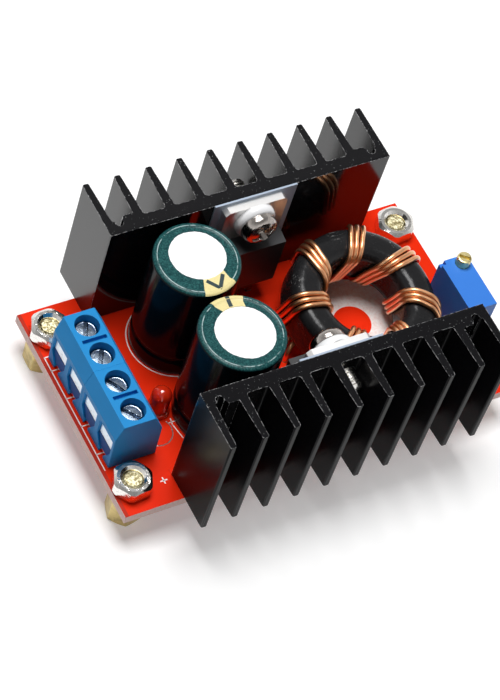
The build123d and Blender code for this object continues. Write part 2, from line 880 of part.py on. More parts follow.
def solder_joints():
    """A joint round each lead, shaped round the lead that it holds."""
    low = board_bottom - joint_height
    joints = [strand_joint(angle) for angle in (winding_start, winding_end)]
    for x, y, radius in round_leads():
        joints.append(frustum(x, y) - rod(radius, low, board_bottom, (x, y)))
    for x, y, width, thickness in flat_leads():
        hole = Box(width, thickness, joint_height, align=on_base)
        joints.append(frustum(x, y) - Pos(x, y, low) * hole)
    return joints


def controller_chip():
    """The controller's moulded body."""
    top = board_bottom - chip_standoff
    return block(
        (chip_x - chip_length / 2, chip_x + chip_length / 2),
        (chip_y - chip_width / 2, chip_y + chip_width / 2),
        (top - chip_height, top),
    )


def controller_leads():
    """Eight gull-wing leads, four on each long side of the chip."""
    middle_z = board_bottom - chip_standoff - chip_height / 2
    foot = (chip_lead_span - chip_width) / 4
    leads = []
    for side in (-1, 1):
        for step in (-1.5, -0.5, 0.5, 1.5):
            x = chip_x + step * chip_lead_pitch
            near = chip_y + side * chip_width / 2
            knee = near + side * foot
            toe = chip_y + side * chip_lead_span / 2
            thick = side * chip_lead_thickness
            with BuildSketch(Plane.YZ.offset(x - chip_lead_width / 2)) as outline:
                Polygon(
                    (near, middle_z),
                    (knee, middle_z),
                    (knee, board_bottom - chip_lead_thickness),
                    (toe, board_bottom - chip_lead_thickness),
                    (toe, board_bottom),
                    (knee - thick, board_bottom),
                    (knee - thick, middle_z + chip_lead_thickness),
                    (near, middle_z + chip_lead_thickness),
                    align=None,
                )
            leads.append(extrude(outline.sketch, chip_lead_width))
    return leads


def surface_part(place, length, width, height):
    """A flat part soldered to the underside, its length along X."""
    x, y = place
    return block(
        (x - length / 2, x + length / 2),
        (y - width / 2, y + width / 2),
        (board_bottom - height, board_bottom),
    )


# Printed marks
def printed(sketch):
    """A flat figure as a layer of ink on the board."""
    return Pos(0, 0, board_top) * extrude(sketch, print_thickness)


def printed_marks():
    """The disc in the inductor's bore, outlines round parts, pole ticks and a plus sign."""
    marks = []
    marks.append(Pos(disc_x, disc_y) * (Circle(disc_radius) - Circle(dot_radius)))
    x, y = capacitor_places["input"]
    ring = capacitor_radius + capacitor_ring_gap
    marks.append(Pos(x, y) * (Circle(ring + mark_line) - Circle(ring)))
    line_x = -board_length / 2 + terminal_line_inset
    outline = Pos(line_x, 0) * Rectangle(mark_line, terminal_row)
    for tick_y in pole_places():
        outline += Pos(line_x + terminal_tick / 2, tick_y) * Rectangle(terminal_tick, mark_line)
    marks.append(outline)
    sign = Rectangle(sign_size, mark_line) + Rectangle(mark_line, sign_size)
    marks.append(Pos(sign_x, sign_y) * sign)
    return [printed(mark) for mark in marks]


# Build every node
nodes = {
    "circuit_board": circuit_board(),
    "printed_marks": joined(printed_marks()),
    "standoffs": joined([standoff(place) for place in mounting_places]),
    "nuts": joined([nut(place, turn) for place, turn in zip(mounting_places, nut_turns)]),
    "heatsink_far": heatsink(1),
    "heatsink_near": heatsink(-1),
    "inductor_core": inductor_core(),
    "inductor_winding": joined(inductor_winding()),
    "trimmer_housing": trimmer_housing(),
    "trimmer_screw": trimmer_screw(),
    "trimmer_pins": joined(trimmer_pins()),
    "led_lens": led_lens(),
    "led_leads": joined(led_leads()),
    "solder_joints": joined(solder_joints()),
    "controller_chip": controller_chip(),
    "controller_leads": joined(controller_leads()),
    "shunt_resistor": surface_part(shunt_place, shunt_length, shunt_width, shunt_height),
}
for name, side in (("transistor", 1), ("rectifier", -1)):
    nodes[f"{name}_tab"] = placed(package_tab(), side)
    nodes[f"{name}_leads"] = placed(joined(outer_leads()), side)
    nodes[f"{name}_body"] = placed(package_body(), side)
    nodes[f"{name}_pad"] = placed(insulating_pad(), side)
    nodes[f"{name}_bush"] = placed(insulating_bush(), side)
    nodes[f"{name}_screw"] = placed(package_screw(), side)
for name, place in capacitor_places.items():
    nodes[f"{name}_capacitor_sleeve"] = capacitor_sleeve(place)
    nodes[f"{name}_capacitor_can"] = capacitor_can(place)
    nodes[f"{name}_capacitor_bung"] = capacitor_bung(place)
    nodes[f"{name}_capacitor_leads"] = joined(capacitor_leads(place, pin_end))
for number in range(terminal_blocks):
    nodes[f"terminal_housing_{number + 1}"] = terminal_housing(number)
for number, (y, turn) in enumerate(zip(pole_places(), terminal_slot_turns), 1):
    nodes[f"terminal_clamp_{number}"] = terminal_clamp(y)
    nodes[f"wire_guard_{number}"] = wire_guard(y)
    nodes[f"terminal_screw_{number}"] = terminal_screw(y, turn)
small_parts = {
    "chip_resistors": (small_resistor_places, small_resistor_height),
    "chip_capacitors": (small_capacitor_places, small_capacitor_height),
}
for name, (places, height) in small_parts.items():
    parts = [surface_part(place, small_part_length, small_part_width, height) for place in places]
    nodes[name] = joined(parts)

for name, shape in nodes.items():
    export_step(shape, f"parts/{name}.step")
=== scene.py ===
import math

import bpy
import numpy as np
from mathutils import Matrix, Vector

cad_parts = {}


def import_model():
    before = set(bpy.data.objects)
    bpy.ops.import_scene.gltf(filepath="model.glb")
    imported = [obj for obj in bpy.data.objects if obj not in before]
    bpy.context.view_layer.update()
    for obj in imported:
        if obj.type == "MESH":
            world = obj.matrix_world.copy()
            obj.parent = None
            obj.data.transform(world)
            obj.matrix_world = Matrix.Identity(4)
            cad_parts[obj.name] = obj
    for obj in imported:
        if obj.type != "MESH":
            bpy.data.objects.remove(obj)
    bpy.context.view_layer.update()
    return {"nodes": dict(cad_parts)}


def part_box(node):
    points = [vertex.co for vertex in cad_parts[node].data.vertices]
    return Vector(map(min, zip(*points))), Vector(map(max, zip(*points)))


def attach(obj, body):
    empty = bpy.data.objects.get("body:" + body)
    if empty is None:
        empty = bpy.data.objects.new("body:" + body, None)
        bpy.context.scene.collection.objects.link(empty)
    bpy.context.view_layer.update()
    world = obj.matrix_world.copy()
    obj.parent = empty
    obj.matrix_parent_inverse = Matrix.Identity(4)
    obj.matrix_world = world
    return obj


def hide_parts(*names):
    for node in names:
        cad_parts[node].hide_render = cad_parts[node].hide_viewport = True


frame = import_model()

# Lengths are in millimetres unless a name or comment says otherwise. Blender gets them in metres
MM = 0.001


# Places and sizes read from the frame
def span(node):
    """Lowest and highest corner of a CAD node."""
    low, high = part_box(node)
    return Vector(low) / MM, Vector(high) / MM


def centre(node):
    low, high = span(node)
    return (low + high) / 2


BOARD_BOTTOM = span("circuit_board")[0].z
BOARD_TOP = span("circuit_board")[1].z
SLEEVE_TOP = span("input_capacitor_sleeve")[1].z
HEATSINK_FACE = span("heatsink_far")[0].y

# Small places in the finishes
POUR_LINE_X = -23.1  # a faint step in the mask, over the edge of the copper
POUR_LINE_END = -13.2
BARE_EDGE = -31.9  # the strip by the terminals where the mask is thin
CORE_SCRATCH = (13.6, 8.9, 16.8)


# Materials
class Nodes:
    """Short calls for the nodes of a tree."""

    def __init__(self, tree):
        self.tree = tree
        self.place = None

    def node(self, kind, inputs=(), **settings):
        """A node with settings, and with inputs given as pairs of a name or number and a value."""
        made = self.tree.nodes.new(kind)
        for key, value in settings.items():
            setattr(made, key, value)
        for key, value in inputs:
            self.put(made.inputs[key], value)
        return made

    def put(self, socket, value):
        """A value or another node's output into a socket."""
        if hasattr(value, "is_output"):
            self.tree.links.new(value, socket)
        else:
            socket.default_value = value

    def vector(self, operation, *inputs):
        return self.node("ShaderNodeVectorMath", enumerate(inputs), operation=operation)

    def math(self, operation, *inputs):
        return self.node("ShaderNodeMath", enumerate(inputs), operation=operation).outputs[0]

    def coords(self):
        """Object coordinates in millimetres."""
        if self.place is None:
            source = self.node("ShaderNodeTexCoord").outputs["Object"]
            self.place = self.vector("MULTIPLY", source, (1 / MM, 1 / MM, 1 / MM)).outputs[0]
        return self.place

    def stretched(self, x=1.0, y=1.0, z=1.0, shift=(0, 0, 0)):
        """Coordinates moved by shift and then scaled on each axis."""
        moved = self.vector("SUBTRACT", self.coords(), shift).outputs[0]
        return self.vector("MULTIPLY", moved, (x, y, z)).outputs[0]

    def axis(self, name, vector=None):
        """One component of a vector, or of the coordinates."""
        return self.node("ShaderNodeSeparateXYZ", [(0, vector or self.coords())]).outputs[name]

    def normal(self):
        return self.node("ShaderNodeNewGeometry").outputs["Normal"]

    def upright(self, name, low, high):
        """1 where the surface faces along an axis, either way, and 0 where it is turned aside."""
        return self.steps(self.math("ABSOLUTE", self.axis(name, self.normal())), low, high)

    def noise(self, size, detail=2.0, rough=0.5, vector=None, distortion=0.0):
        """Noise whose blotches are about size millimetres across."""
        inputs = [("Vector", vector or self.coords()), ("Scale", 1 / size), ("Detail", detail)]
        inputs += [("Roughness", rough), ("Distortion", distortion)]
        return self.node("ShaderNodeTexNoise", inputs).outputs[0]

    def steps(self, value, low, high):
        """0 below low, 1 above high, and smooth between them."""
        inputs = [("Value", value), ("From Min", low), ("From Max", high)]
        return self.node("ShaderNodeMapRange", inputs, interpolation_type="SMOOTHSTEP").outputs[0]

    def range(self, value, low, high, start=0.0, end=1.0):
        """A value between start and end, spread between low and high."""
        inputs = [("Value", value), ("From Min", start), ("From Max", end), ("To Min", low), ("To Max", high)]
        return self.node("ShaderNodeMapRange", inputs).outputs[0]

    def mix(self, share, first, second):
        """Two colours mixed."""
        colours = [colour if hasattr(colour, "is_output") else (*colour, 1.0) for colour in (first, second)]
        inputs = [(0, share), (6, colours[0]), (7, colours[1])]
        return self.node("ShaderNodeMix", inputs, data_type="RGBA").outputs[2]

    def bump(self, height, depth, strength=1.0, after=None):
        """A relief of a depth in millimetres."""
        inputs = [("Height", height), ("Distance", depth * MM), ("Strength", strength)]
        if after is not None:
            inputs.append(("Normal", after))
        return self.node("ShaderNodeBump", inputs).outputs[0]

    def near(self, place, inside, outside):
        """1 within a distance of a place, and 0 beyond a larger one."""
        length = self.vector("LENGTH", self.stretched(shift=place)).outputs["Value"]
        return self.steps(length, outside, inside)

    def edges(self, radius):
        """1 within about a radius of a sharp edge, and 0 on flat ground."""
        bevel = self.node("ShaderNodeBevel", [("Radius", radius * MM)], samples=6).outputs[0]
        return self.steps(self.vector("DOT_PRODUCT", bevel, self.normal()).outputs["Value"], 0.995, 0.9)


class Look(Nodes):
    """A procedural material on the standard shader."""

    def __init__(self, name, colour, roughness, metallic=0.0, **sockets):
        self.material = bpy.data.materials.new(name)
        self.material.use_nodes = True
        self.material.diffuse_color = (*colour, 1.0)
        super().__init__(self.material.node_tree)
        self.shader = self.tree.nodes["Principled BSDF"]
        self.set("Base Color", (*colour, 1.0))
        self.set("Roughness", roughness)
        self.set("Metallic", metallic)
        for socket, value in sockets.items():
            self.set(socket.replace("_", " "), value)

    def set(self, name, value):
        self.put(self.shader.inputs[name], value)

    def paint(self, *mixed):
        """The colour, mixed by a share from low to high."""
        self.set("Base Color", self.mix(*mixed))

    def dull(self, *spread):
        """The roughness, spread by a share from low to high."""
        self.set("Roughness", self.range(*spread))

    def relief(self, *bumped):
        """The fine relief, from a height's pattern."""
        self.set("Normal", self.bump(*bumped))


def solder_mask():
    """Red solder mask on both faces, with pale glass-fibre board at the cut edges."""
    look = Look("solder_mask", (0.80, 0.03, 0.006), 0.34)
    patchy = look.noise(9.0, 3.0, 0.6)
    red = look.mix(patchy, (0.76, 0.020, 0.003), (0.88, 0.032, 0.005))
    aside = look.math("ABSOLUTE", look.math("SUBTRACT", look.axis("X"), POUR_LINE_X))
    reaches = look.math("LESS_THAN", look.axis("Y"), POUR_LINE_END)
    line = look.math("MULTIPLY", look.steps(aside, 0.16, 0.08), reaches)
    red = look.mix(look.math("MULTIPLY", line, 0.45), red, (0.55, 0.02, 0.006))
    rim = look.steps(look.axis("X"), BARE_EDGE + 0.05, BARE_EDGE - 0.05)
    bare = look.math("MULTIPLY", rim, look.range(patchy, 0.3, 0.8))
    red = look.mix(bare, red, (0.22, 0.035, 0.025))
    grain = look.noise(0.35, 3.0, 0.7, look.stretched(1, 1, 0.3))
    edge = look.mix(grain, (0.86, 0.52, 0.47), (1.0, 0.86, 0.82))
    flat = look.upright("Z", 0.4, 0.6)
    look.paint(flat, edge, red)
    look.dull(flat, 0.65, 0.32)
    look.set("Specular IOR Level", look.range(patchy, 0.04, 0.09))
    relief = look.math("ADD", look.noise(0.5, 2.0), look.math("MULTIPLY", line, -2.0))
    look.relief(relief, 0.01, 0.5)
    return look.material


def ink():
    """Screen-printed marks, a little thin so that the red shows through."""
    look = Look("ink", (0.80, 0.72, 0.70), 0.55)
    thin = look.noise(0.4, 3.0, 0.7)
    look.paint(look.steps(thin, 0.35, 0.75), (0.90, 0.85, 0.83), (0.82, 0.64, 0.60))
    look.relief(thin, 0.01, 0.4)
    return look.material


def anodised():
    """Black anodised extrusion: polished inner face, duller fins whose reflection is painted down on the near
    heatsink, sawn ends, and bright nicks on its edges that are partly painted highlight.
    """
    look = Look("anodised", (0.006, 0.006, 0.007), 0.12)
    sawn = look.upright("Z", 0.8, 0.95)
    inner = look.steps(look.math("ABSOLUTE", look.axis("Y")), HEATSINK_FACE + 0.4, HEATSINK_FACE + 0.2)
    streaks = look.noise(0.25, 3.0, 0.6, look.stretched(1, 1, 0.02))
    saw = look.noise(0.12, 4.0, 0.7, look.stretched(0.2, 1, 1))
    nicks_and_edge_highlights = look.noise(0.5, 4.0, 0.75)
    # Bright marks along the sharp edges: partly nicks in the anodising, partly painted highlight
    edge = look.math("MULTIPLY", look.edges(0.12), look.steps(nicks_and_edge_highlights, 0.45, 0.58))
    specks = look.math("MULTIPLY", sawn, look.steps(look.noise(0.22, 2.0), 0.70, 0.78))
    worn = look.math("MAXIMUM", edge, look.math("MULTIPLY", specks, 0.6))
    black = look.mix(sawn, (0.005, 0.005, 0.006), (0.010, 0.010, 0.011))
    look.paint(worn, black, (0.60, 0.60, 0.61))
    look.set("Metallic", look.math("MULTIPLY", worn, 0.5))
    plain = look.math("ADD", look.range(inner, 0.24, 0.08), look.math("MULTIPLY", streaks, 0.02))
    look.set("Roughness", look.math("MAXIMUM", plain, look.math("MULTIPLY", sawn, 0.6)))
    # Painted shade on the reflections: the near heatsink's outer faces reflect less than the far one's
    outer = look.range(look.steps(look.axis("Y"), -1.0, 1.0), 0.10, 0.60)
    shine_dimmed_near = look.range(inner, outer, 0.34)
    look.set("Specular IOR Level", look.math("MULTIPLY", shine_dimmed_near, look.range(sawn, 1.0, 0.08)))
    relief = look.math("ADD", look.math("MULTIPLY", streaks, 0.02), look.math("MULTIPLY", saw, sawn))
    look.relief(relief, 0.012, 0.6)
    return look.material


def plated(name, colour, roughness, grain=0.3, lumps=0.0):
    """Bright plated metal with faint marks, and lumps of a height in millimetres."""
    look = Look(name, colour, roughness, 1.0)
    marks = look.noise(grain, 4.0, 0.7)
    dull = tuple(0.72 * part for part in colour)
    look.paint(look.steps(marks, 0.45, 0.8), colour, dull)
    look.dull(marks, 0.6 * roughness, 1.6 * roughness)
    relief = look.bump(look.noise(1.1, 2.0, distortion=0.5), lumps, 0.8)
    look.relief(marks, 0.008, 0.5, relief)
    return look.material


def brass(name="brass_turned", colour=(0.62, 0.50, 0.22)):
    """Turned brass with tool marks and a little tarnish."""
    look = Look(name, colour, 0.3, 1.0)
    rings = look.noise(0.15, 3.0, 0.6, look.stretched(0.2, 0.2, 1))
    tarnish = look.noise(1.5, 4.0, 0.65)
    dark = tuple(0.6 * part for part in colour)
    look.paint(look.steps(tarnish, 0.4, 0.75), colour, dark)
    look.dull(tarnish, 0.22, 0.45)
    look.relief(rings, 0.01, 0.5)
    return look.material


def stud_end():
    """The torn end of the brass stud: granular, pale and dark by turns."""
    look = Look("stud_end", (0.70, 0.62, 0.36), 0.42, 1.0)
    grains = look.noise(0.35, 4.0, 0.7, distortion=0.4)
    look.paint(look.steps(grains, 0.42, 0.6), (0.22, 0.18, 0.08), (0.86, 0.80, 0.55))
    look.relief(grains, 0.12, 0.8)
    return look.material


def copper_wire():
    """Enamelled copper: warm metal under a clear varnish."""
    look = Look("copper_wire", (0.72, 0.28, 0.11), 0.2, 1.0, Coat_Weight=0.6, Coat_Roughness=0.06)
    patches = look.noise(2.5, 3.0, 0.6)
    look.paint(patches, (0.74, 0.29, 0.12), (0.97, 0.56, 0.30))
    look.dull(look.noise(1.4, 2.0), 0.28, 0.40)
    return look.material


def core_epoxy():
    """Thick black epoxy on the toroid, slightly lumpy."""
    look = Look("core_epoxy", (0.012, 0.012, 0.013), 0.28, Specular_IOR_Level=0.23)
    lumps = look.noise(1.9, 3.0, 0.55)
    specks = look.noise(0.25, 3.0, 0.7)
    black = look.mix(specks, (0.008, 0.008, 0.009), (0.018, 0.018, 0.019))
    dull = look.math("MULTIPLY", look.steps(look.noise(2.6, 2.0), 0.62, 0.68), look.steps(specks, 0.60, 0.68))
    scratches = look.steps(look.noise(0.5, 3.0, 0.7, look.stretched(0.35, 1, 1), 1.0), 0.56, 0.64)
    rubbed = look.math("MULTIPLY", look.near(CORE_SCRATCH, 0.7, 2.0), scratches)
    look.paint(look.math("MAXIMUM", dull, rubbed), black, (0.38, 0.37, 0.36))
    look.dull(lumps, 0.18, 0.34)
    look.relief(specks, 0.012, 0.4, look.bump(lumps, 0.18, 0.7))
    return look.material


def moulded(name, colour, roughness, vary=0.12, **sockets):
    """Moulded plastic or rubber with a fine texture and a slight change of tone."""
    look = Look(name, colour, roughness, **sockets)
    cloud = look.noise(3.0, 3.0, 0.6)
    fine = look.noise(0.18, 3.0, 0.7)
    low = tuple((1 - vary) * part for part in colour)
    high = tuple(min(1.0, (1 + vary) * part) for part in colour)
    look.paint(cloud, low, high)
    look.dull(fine, 0.85 * roughness, 1.2 * roughness)
    look.relief(fine, 0.012, 0.5)
    return look.material


def tab_metal():
    """The package's plated tab: satin, with a vertical grain."""
    look = Look("tab_metal", (0.80, 0.79, 0.78), 0.34, 1.0)
    grain = look.noise(0.12, 3.0, 0.6, look.stretched(1, 1, 0.08))
    look.paint(grain, (0.72, 0.71, 0.70), (0.86, 0.85, 0.84))
    look.dull(grain, 0.28, 0.42)
    look.relief(grain, 0.01, 0.4)
    return look.material


def sleeve_film():
    """Shrink film: a speckled teal top with a painted highlight line round it, and glossy sides painted near
    black as shade.
    """
    look = Look("sleeve_film", (0.01, 0.09, 0.09), 0.16)
    # High is the top; the sides below it get a near black that is painted shade, darker than the film's own
    # teal
    high = look.steps(look.axis("Z"), SLEEVE_TOP - 0.40, SLEEVE_TOP - 0.08)
    speck = look.noise(0.24, 4.0, 0.8)
    teal = look.mix(look.steps(speck, 0.40, 0.66), (0.003, 0.038, 0.043), (0.030, 0.145, 0.140))
    # Painted highlight: a pale line along the ridge round the top edge, broken by noise
    ridge = look.steps(look.axis("Z"), SLEEVE_TOP + 0.010, SLEEVE_TOP + 0.035)
    ridge = look.math("MULTIPLY", ridge, look.steps(look.noise(1.3, 3.0, 0.6), 0.38, 0.52))
    teal = look.mix(ridge, teal, (0.42, 0.56, 0.56))
    # Painted shade: the near black of the sides
    side = look.mix(look.noise(4.0, 2.0), (0.0008, 0.0025, 0.0035), (0.002, 0.007, 0.009))
    look.paint(high, side, teal)
    look.dull(high, 0.16, 0.28)
    look.set("Specular IOR Level", look.range(high, 0.08, 0.16))
    creases = look.noise(2.2, 3.0, 0.6, look.stretched(1, 1, 0.25))
    look.relief(speck, 0.01, 0.35, look.bump(creases, 0.08, 0.5))
    return look.material


def sleeve_print(name, pale, dark):
    """A printed patch on the sleeve."""
    look = Look(name, pale, 0.3)
    worn = look.noise(0.25, 4.0, 0.7)
    look.paint(look.steps(worn, 0.5, 0.8), pale, dark)
    look.relief(worn, 0.01, 0.3)
    return look.material


def can_metal():
    """The can's bare top: pale and satin."""
    look = Look("can_metal", (0.93, 0.93, 0.94), 0.4, 0.25)
    grain = look.noise(0.3, 3.0, 0.6)
    look.paint(grain, (0.90, 0.90, 0.92), (0.96, 0.96, 0.97))
    look.dull(grain, 0.35, 0.5)
    look.relief(grain, 0.01, 0.3)
    return look.material


def lens_red():
    """The lamp's clear red body."""
    look = Look("lens_red", (1.0, 0.02, 0.006), 0.05, IOR=1.5, Transmission_Weight=0.45, Coat_Weight=0.5)
    swirl = look.noise(1.2, 2.0, 0.5)
    look.paint(swirl, (0.95, 0.012, 0.004), (1.0, 0.06, 0.012))
    look.relief(swirl, 0.02, 0.4)
    return look.material


MASK = solder_mask()
INK = ink()
ANODISED = anodised()
NICKEL = plated("nickel_bright", (0.88, 0.86, 0.82), 0.15, lumps=0.09)
# Painted shade: the pan heads' metal, a darker copy of the bright nickel on their threads
SHADED_SCREW_STEEL = plated("screw_steel_painted_shade", (0.46, 0.42, 0.39), 0.16, lumps=0.12)
TIN = plated("tin_bright", (0.78, 0.78, 0.79), 0.2)
SOLDER = plated("solder_bright", (0.72, 0.72, 0.74), 0.28, 0.8)
BRASS = brass()
TRIMMER_BRASS = brass("brass_pale", (0.86, 0.74, 0.36))
STUD = stud_end()
COPPER = copper_wire()
CORE = core_epoxy()
MOULDING = moulded("moulding_black", (0.020, 0.020, 0.022), 0.42)
PAD = moulded("pad_grey", (0.42, 0.50, 0.62), 0.35)
BUSH = moulded("bush_white", (0.93, 0.93, 0.94), 0.22, vary=0.03)
TAB = tab_metal()
FILM = sleeve_film()
CREAM = sleeve_print("print_cream", (0.88, 0.76, 0.36), (0.70, 0.58, 0.26))
DARK_PRINT = sleeve_print("print_dark", (0.02, 0.045, 0.05), (0.05, 0.09, 0.09))
CAN = can_metal()
RUBBER = moulded("bung_rubber", (0.02, 0.02, 0.02), 0.6)
HOUSING_BLUE = moulded("housing_blue", (0.018, 0.27, 0.64), 0.38, vary=0.05, Specular_IOR_Level=0.10)
# Painted shade: the housing's blue darkened, for the recess under the clamps' plates
SHADE_PAINTED_BLUE = moulded("housing_blue_painted_shade", (0.006, 0.085, 0.30), 0.4, Specular_IOR_Level=0.1)
TRIMMER_BLUE = moulded("trimmer_blue", (0.045, 0.22, 0.74), 0.34, vary=0.04, Specular_IOR_Level=0.22)
PLATE = plated("plate_pale", (0.76, 0.87, 0.94), 0.34, 0.6)
ZINC = plated("zinc_blue", (0.26, 0.32, 0.40), 0.22, lumps=0.05)
LENS = lens_red()
CERAMIC = moulded("ceramic_tan", (0.38, 0.27, 0.16), 0.45)

# The look of each CAD node that stays, by a part of its name
NODE_LOOKS = {
    "circuit_board": MASK,
    "heatsink": ANODISED,
    "trimmer_housing": TRIMMER_BLUE,
    "terminal_housing": HOUSING_BLUE,
    "solder_joints": SOLDER,
    "controller_chip": MOULDING,
    "_resistor": MOULDING,
    "chip_capacitors": CERAMIC,
    "_tab": TAB,
    "_body": MOULDING,
    "_pad": PAD,
    "_can": CAN,
    "_bung": RUBBER,
    "_leads": TIN,
    "trimmer_pins": TIN,
    "terminal_clamp": TIN,
    "wire_guard": TIN,
}
# How much the sharp edges of the large nodes are rounded
NODE_EDGES = {"circuit_board": 0.05, "heatsink": 0.05, "terminal_housing": 0.07, "trimmer_housing": 0.12}


def named(part):
    """The CAD nodes with this part in their names."""
    return [node for name, node in frame["nodes"].items() if part in name]


def round_edges(piece, width):
    bevel = piece.modifiers.new("round", "BEVEL")
    bevel.width = width * MM
    bevel.segments = 2
    bevel.limit_method = "ANGLE"
    bevel.angle_limit = math.radians(35)


for part, look in NODE_LOOKS.items():
    for node in named(part):
        node.data.materials.clear()
        node.data.materials.append(look)
for part, width in NODE_EDGES.items():
    for node in named(part):
        weld = node.modifiers.new("weld", "WELD")
        weld.merge_threshold = 0.0005 * MM
        round_edges(node, width)


# Meshes
def full_turn(count, degrees=0.0):
    """Evenly spaced angles once round, in radians, from a bearing in degrees."""
    return np.arange(count) * 2 * math.pi / count + math.radians(degrees)


def circle(place, radius, height, angles):
    """A ring of points round a place, or one point where its radius is 0."""
    if radius < 1e-6:
        return [(place[0], place[1], height)]
    return [(place[0] + radius * math.cos(a), place[1] + radius * math.sin(a), height) for a in angles]


def arc(middle, radius, start, end, steps):
    """Points of an arc, from one angle in degrees to another."""
    turns = np.radians(np.linspace(start, end, steps + 1))
    return [(middle[0] + radius * math.cos(a), middle[1] + radius * math.sin(a)) for a in turns]


def shoulder(radius, height, inward, upward, start, end, count):
    """Profile points (radius, height) of a rounded shoulder, between two angles in radians."""
    turns = np.linspace(start, end, count)
    return [(radius - inward + inward * math.cos(a), height + upward * math.sin(a)) for a in turns]


def thread(start, end, pitch, pattern):
    """Profile points of a thread: a pattern of (radius, rise) repeated from one height towards another."""
    profile, height = [], start
    while (end - height) * pitch > 0:
        profile += [(radius, height + rise) for radius, rise in pattern]
        height += pitch
    return profile


def ramp(value, low, high):
    """0 at low, 1 at high, and straight between them."""
    return min(max((value - low) / (high - low), 0.0), 1.0)


def slot_cut(x, y, degrees, half_width):
    """1 in a straight driver slot through the middle, and 0 beside it."""
    turn = math.radians(degrees)
    return ramp(abs(y * math.cos(turn) - x * math.sin(turn)), half_width + 0.05, half_width)


def carved(place, radii, count, height):
    """Rings whose points get their height from a function of x and y, counted from the middle."""
    rings = []
    for radius in radii:
        flat = [(radius * math.cos(a), radius * math.sin(a)) for a in full_turn(count)]
        rings.append([(place[0] + x, place[1] + y, height(x, y)) for x, y in flat])
    return rings


class Shape:
    """Vertices and faces with material numbers, gathered into one piece."""

    def __init__(self):
        self.points = []
        self.faces = []
        self.slots = []

    def add(self, points, faces, slot=0, matrix=None):
        base = len(self.points)
        for point in points:
            point = Vector(point)
            self.points.append(matrix @ point if matrix is not None else point)
        self.faces += [[base + corner for corner in face] for face in faces]
        self.slots += [slot] * len(faces) if isinstance(slot, int) else list(slot)

    def grid(self, rows, slot=0, matrix=None, closed=True):
        """Faces between successive rings of equal length. A ring of one point is a pole."""
        points, starts, faces = [], [], []
        for row in rows:
            starts.append(len(points))
            points += row
        for index in range(len(rows) - 1):
            low, high = rows[index], rows[index + 1]
            count = max(len(low), len(high))
            for step in range(count if closed else count - 1):
                after = (step + 1) % count
                a = starts[index] + (step if len(low) > 1 else 0)
                b = starts[index] + (after if len(low) > 1 else 0)
                c = starts[index + 1] + (after if len(high) > 1 else 0)
                d = starts[index + 1] + (step if len(high) > 1 else 0)
                faces.append(list(dict.fromkeys((a, b, c, d))))
        self.add(points, faces, slot, matrix)

    def lathe(self, profile, place=(0, 0), segments=96, slot=0, matrix=None):
        """A turned form from (radius, height) points."""
        self.grid([circle(place, *point, full_turn(segments)) for point in profile], slot, matrix)

    def sweep(self, path, radius, sides=14):
        """A round wire along a path of close points, closed at its ends."""
        path = [Vector(point) for point in path]
        runs = [(b - a).normalized() for a, b in zip(path, path[1:])]
        across = runs[0].orthogonal().normalized()
        rows = [[tuple(path[0])]]
        for index, point in enumerate(path):
            before = runs[max(index - 1, 0)]
            after = runs[min(index, len(runs) - 1)]
            along = (before + after).normalized()
            across = (across - along * across.dot(along)).normalized()
            other = along.cross(across)
            offsets = [across * math.cos(a) + other * math.sin(a) for a in full_turn(sides)]
            rows.append([tuple(point + radius * offset) for offset in offsets])
        rows.append([tuple(path[-1])])
        self.grid(rows)

    def block(self, low, high, slot=0):
        corners = [(x, y, z) for x in (low[0], high[0]) for y in (low[1], high[1]) for z in (low[2], high[2])]
        faces = [(0, 1, 3, 2), (4, 6, 7, 5), (0, 4, 5, 1), (2, 3, 7, 6), (0, 2, 6, 4), (1, 5, 7, 3)]
        self.add(corners, faces, slot)

    def made(self, name, looks, body="root", replaces=(), slot=None, sharp=40, bevel=0.0):
        """Makes the piece, riding on its body."""
        mesh = bpy.data.meshes.new(name)
        mesh.from_pydata([point * MM for point in self.points], [], self.faces)
        for look in looks:
            mesh.materials.append(look)
        mesh.polygons.foreach_set("material_index", self.slots)
        mesh.polygons.foreach_set("use_smooth", [True] * len(self.faces))
        mesh.validate()
        if sharp:
            mesh.set_sharp_from_angle(angle=math.radians(sharp))
        mesh.update()
        piece = bpy.data.objects.new(name, mesh)
        bpy.context.scene.collection.objects.link(piece)
        if bevel:
            round_edges(piece, bevel)
        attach(piece, body)
        if replaces:
            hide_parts(*replaces)


# Nuts and standoffs
NUT_FLATS = 5.5
NUT_CORNERS = 6.0
NUT_TURNS = (5.0, 5.0, 25.0, 5.0)  # degrees
NUT_HOLE = 1.56
NUT_COUNTERSINK = 1.95
STUD_RADIUS = 1.5
STUD_CHAMFER = 0.3
STANDOFF_FLATS = 5.0
STANDOFF_CORNERS = 5.7
HEX_FACE = 2.42  # radius of the flat end, inside the chamfer
HEX_SLOPE = 30.0  # degrees
TAP_RADIUS = 1.25
TAP_DEPTH = 4.0
THREAD_PITCH = 0.5
NUT_LOW = span("nuts")[0].z
NUT_HIGH = span("nuts")[1].z
STUD_TOP = span("standoffs")[1].z
MOUNT_X = span("nuts")[1].x - NUT_CORNERS / 2
MOUNT_Y = 13.8  # half the distance across the board
MOUNTS = [(x * MOUNT_X, y * MOUNT_Y) for x in (-1, 1) for y in (-1, 1)]


def hex_radius(flats, corners, angle):
    """Distance from a hexagon's centre to its edge, with its corners turned down."""
    sector = (math.degrees(angle) + 30) % 60 - 30
    return min(flats / 2 / math.cos(math.radians(30 - abs(sector))), corners / 2)


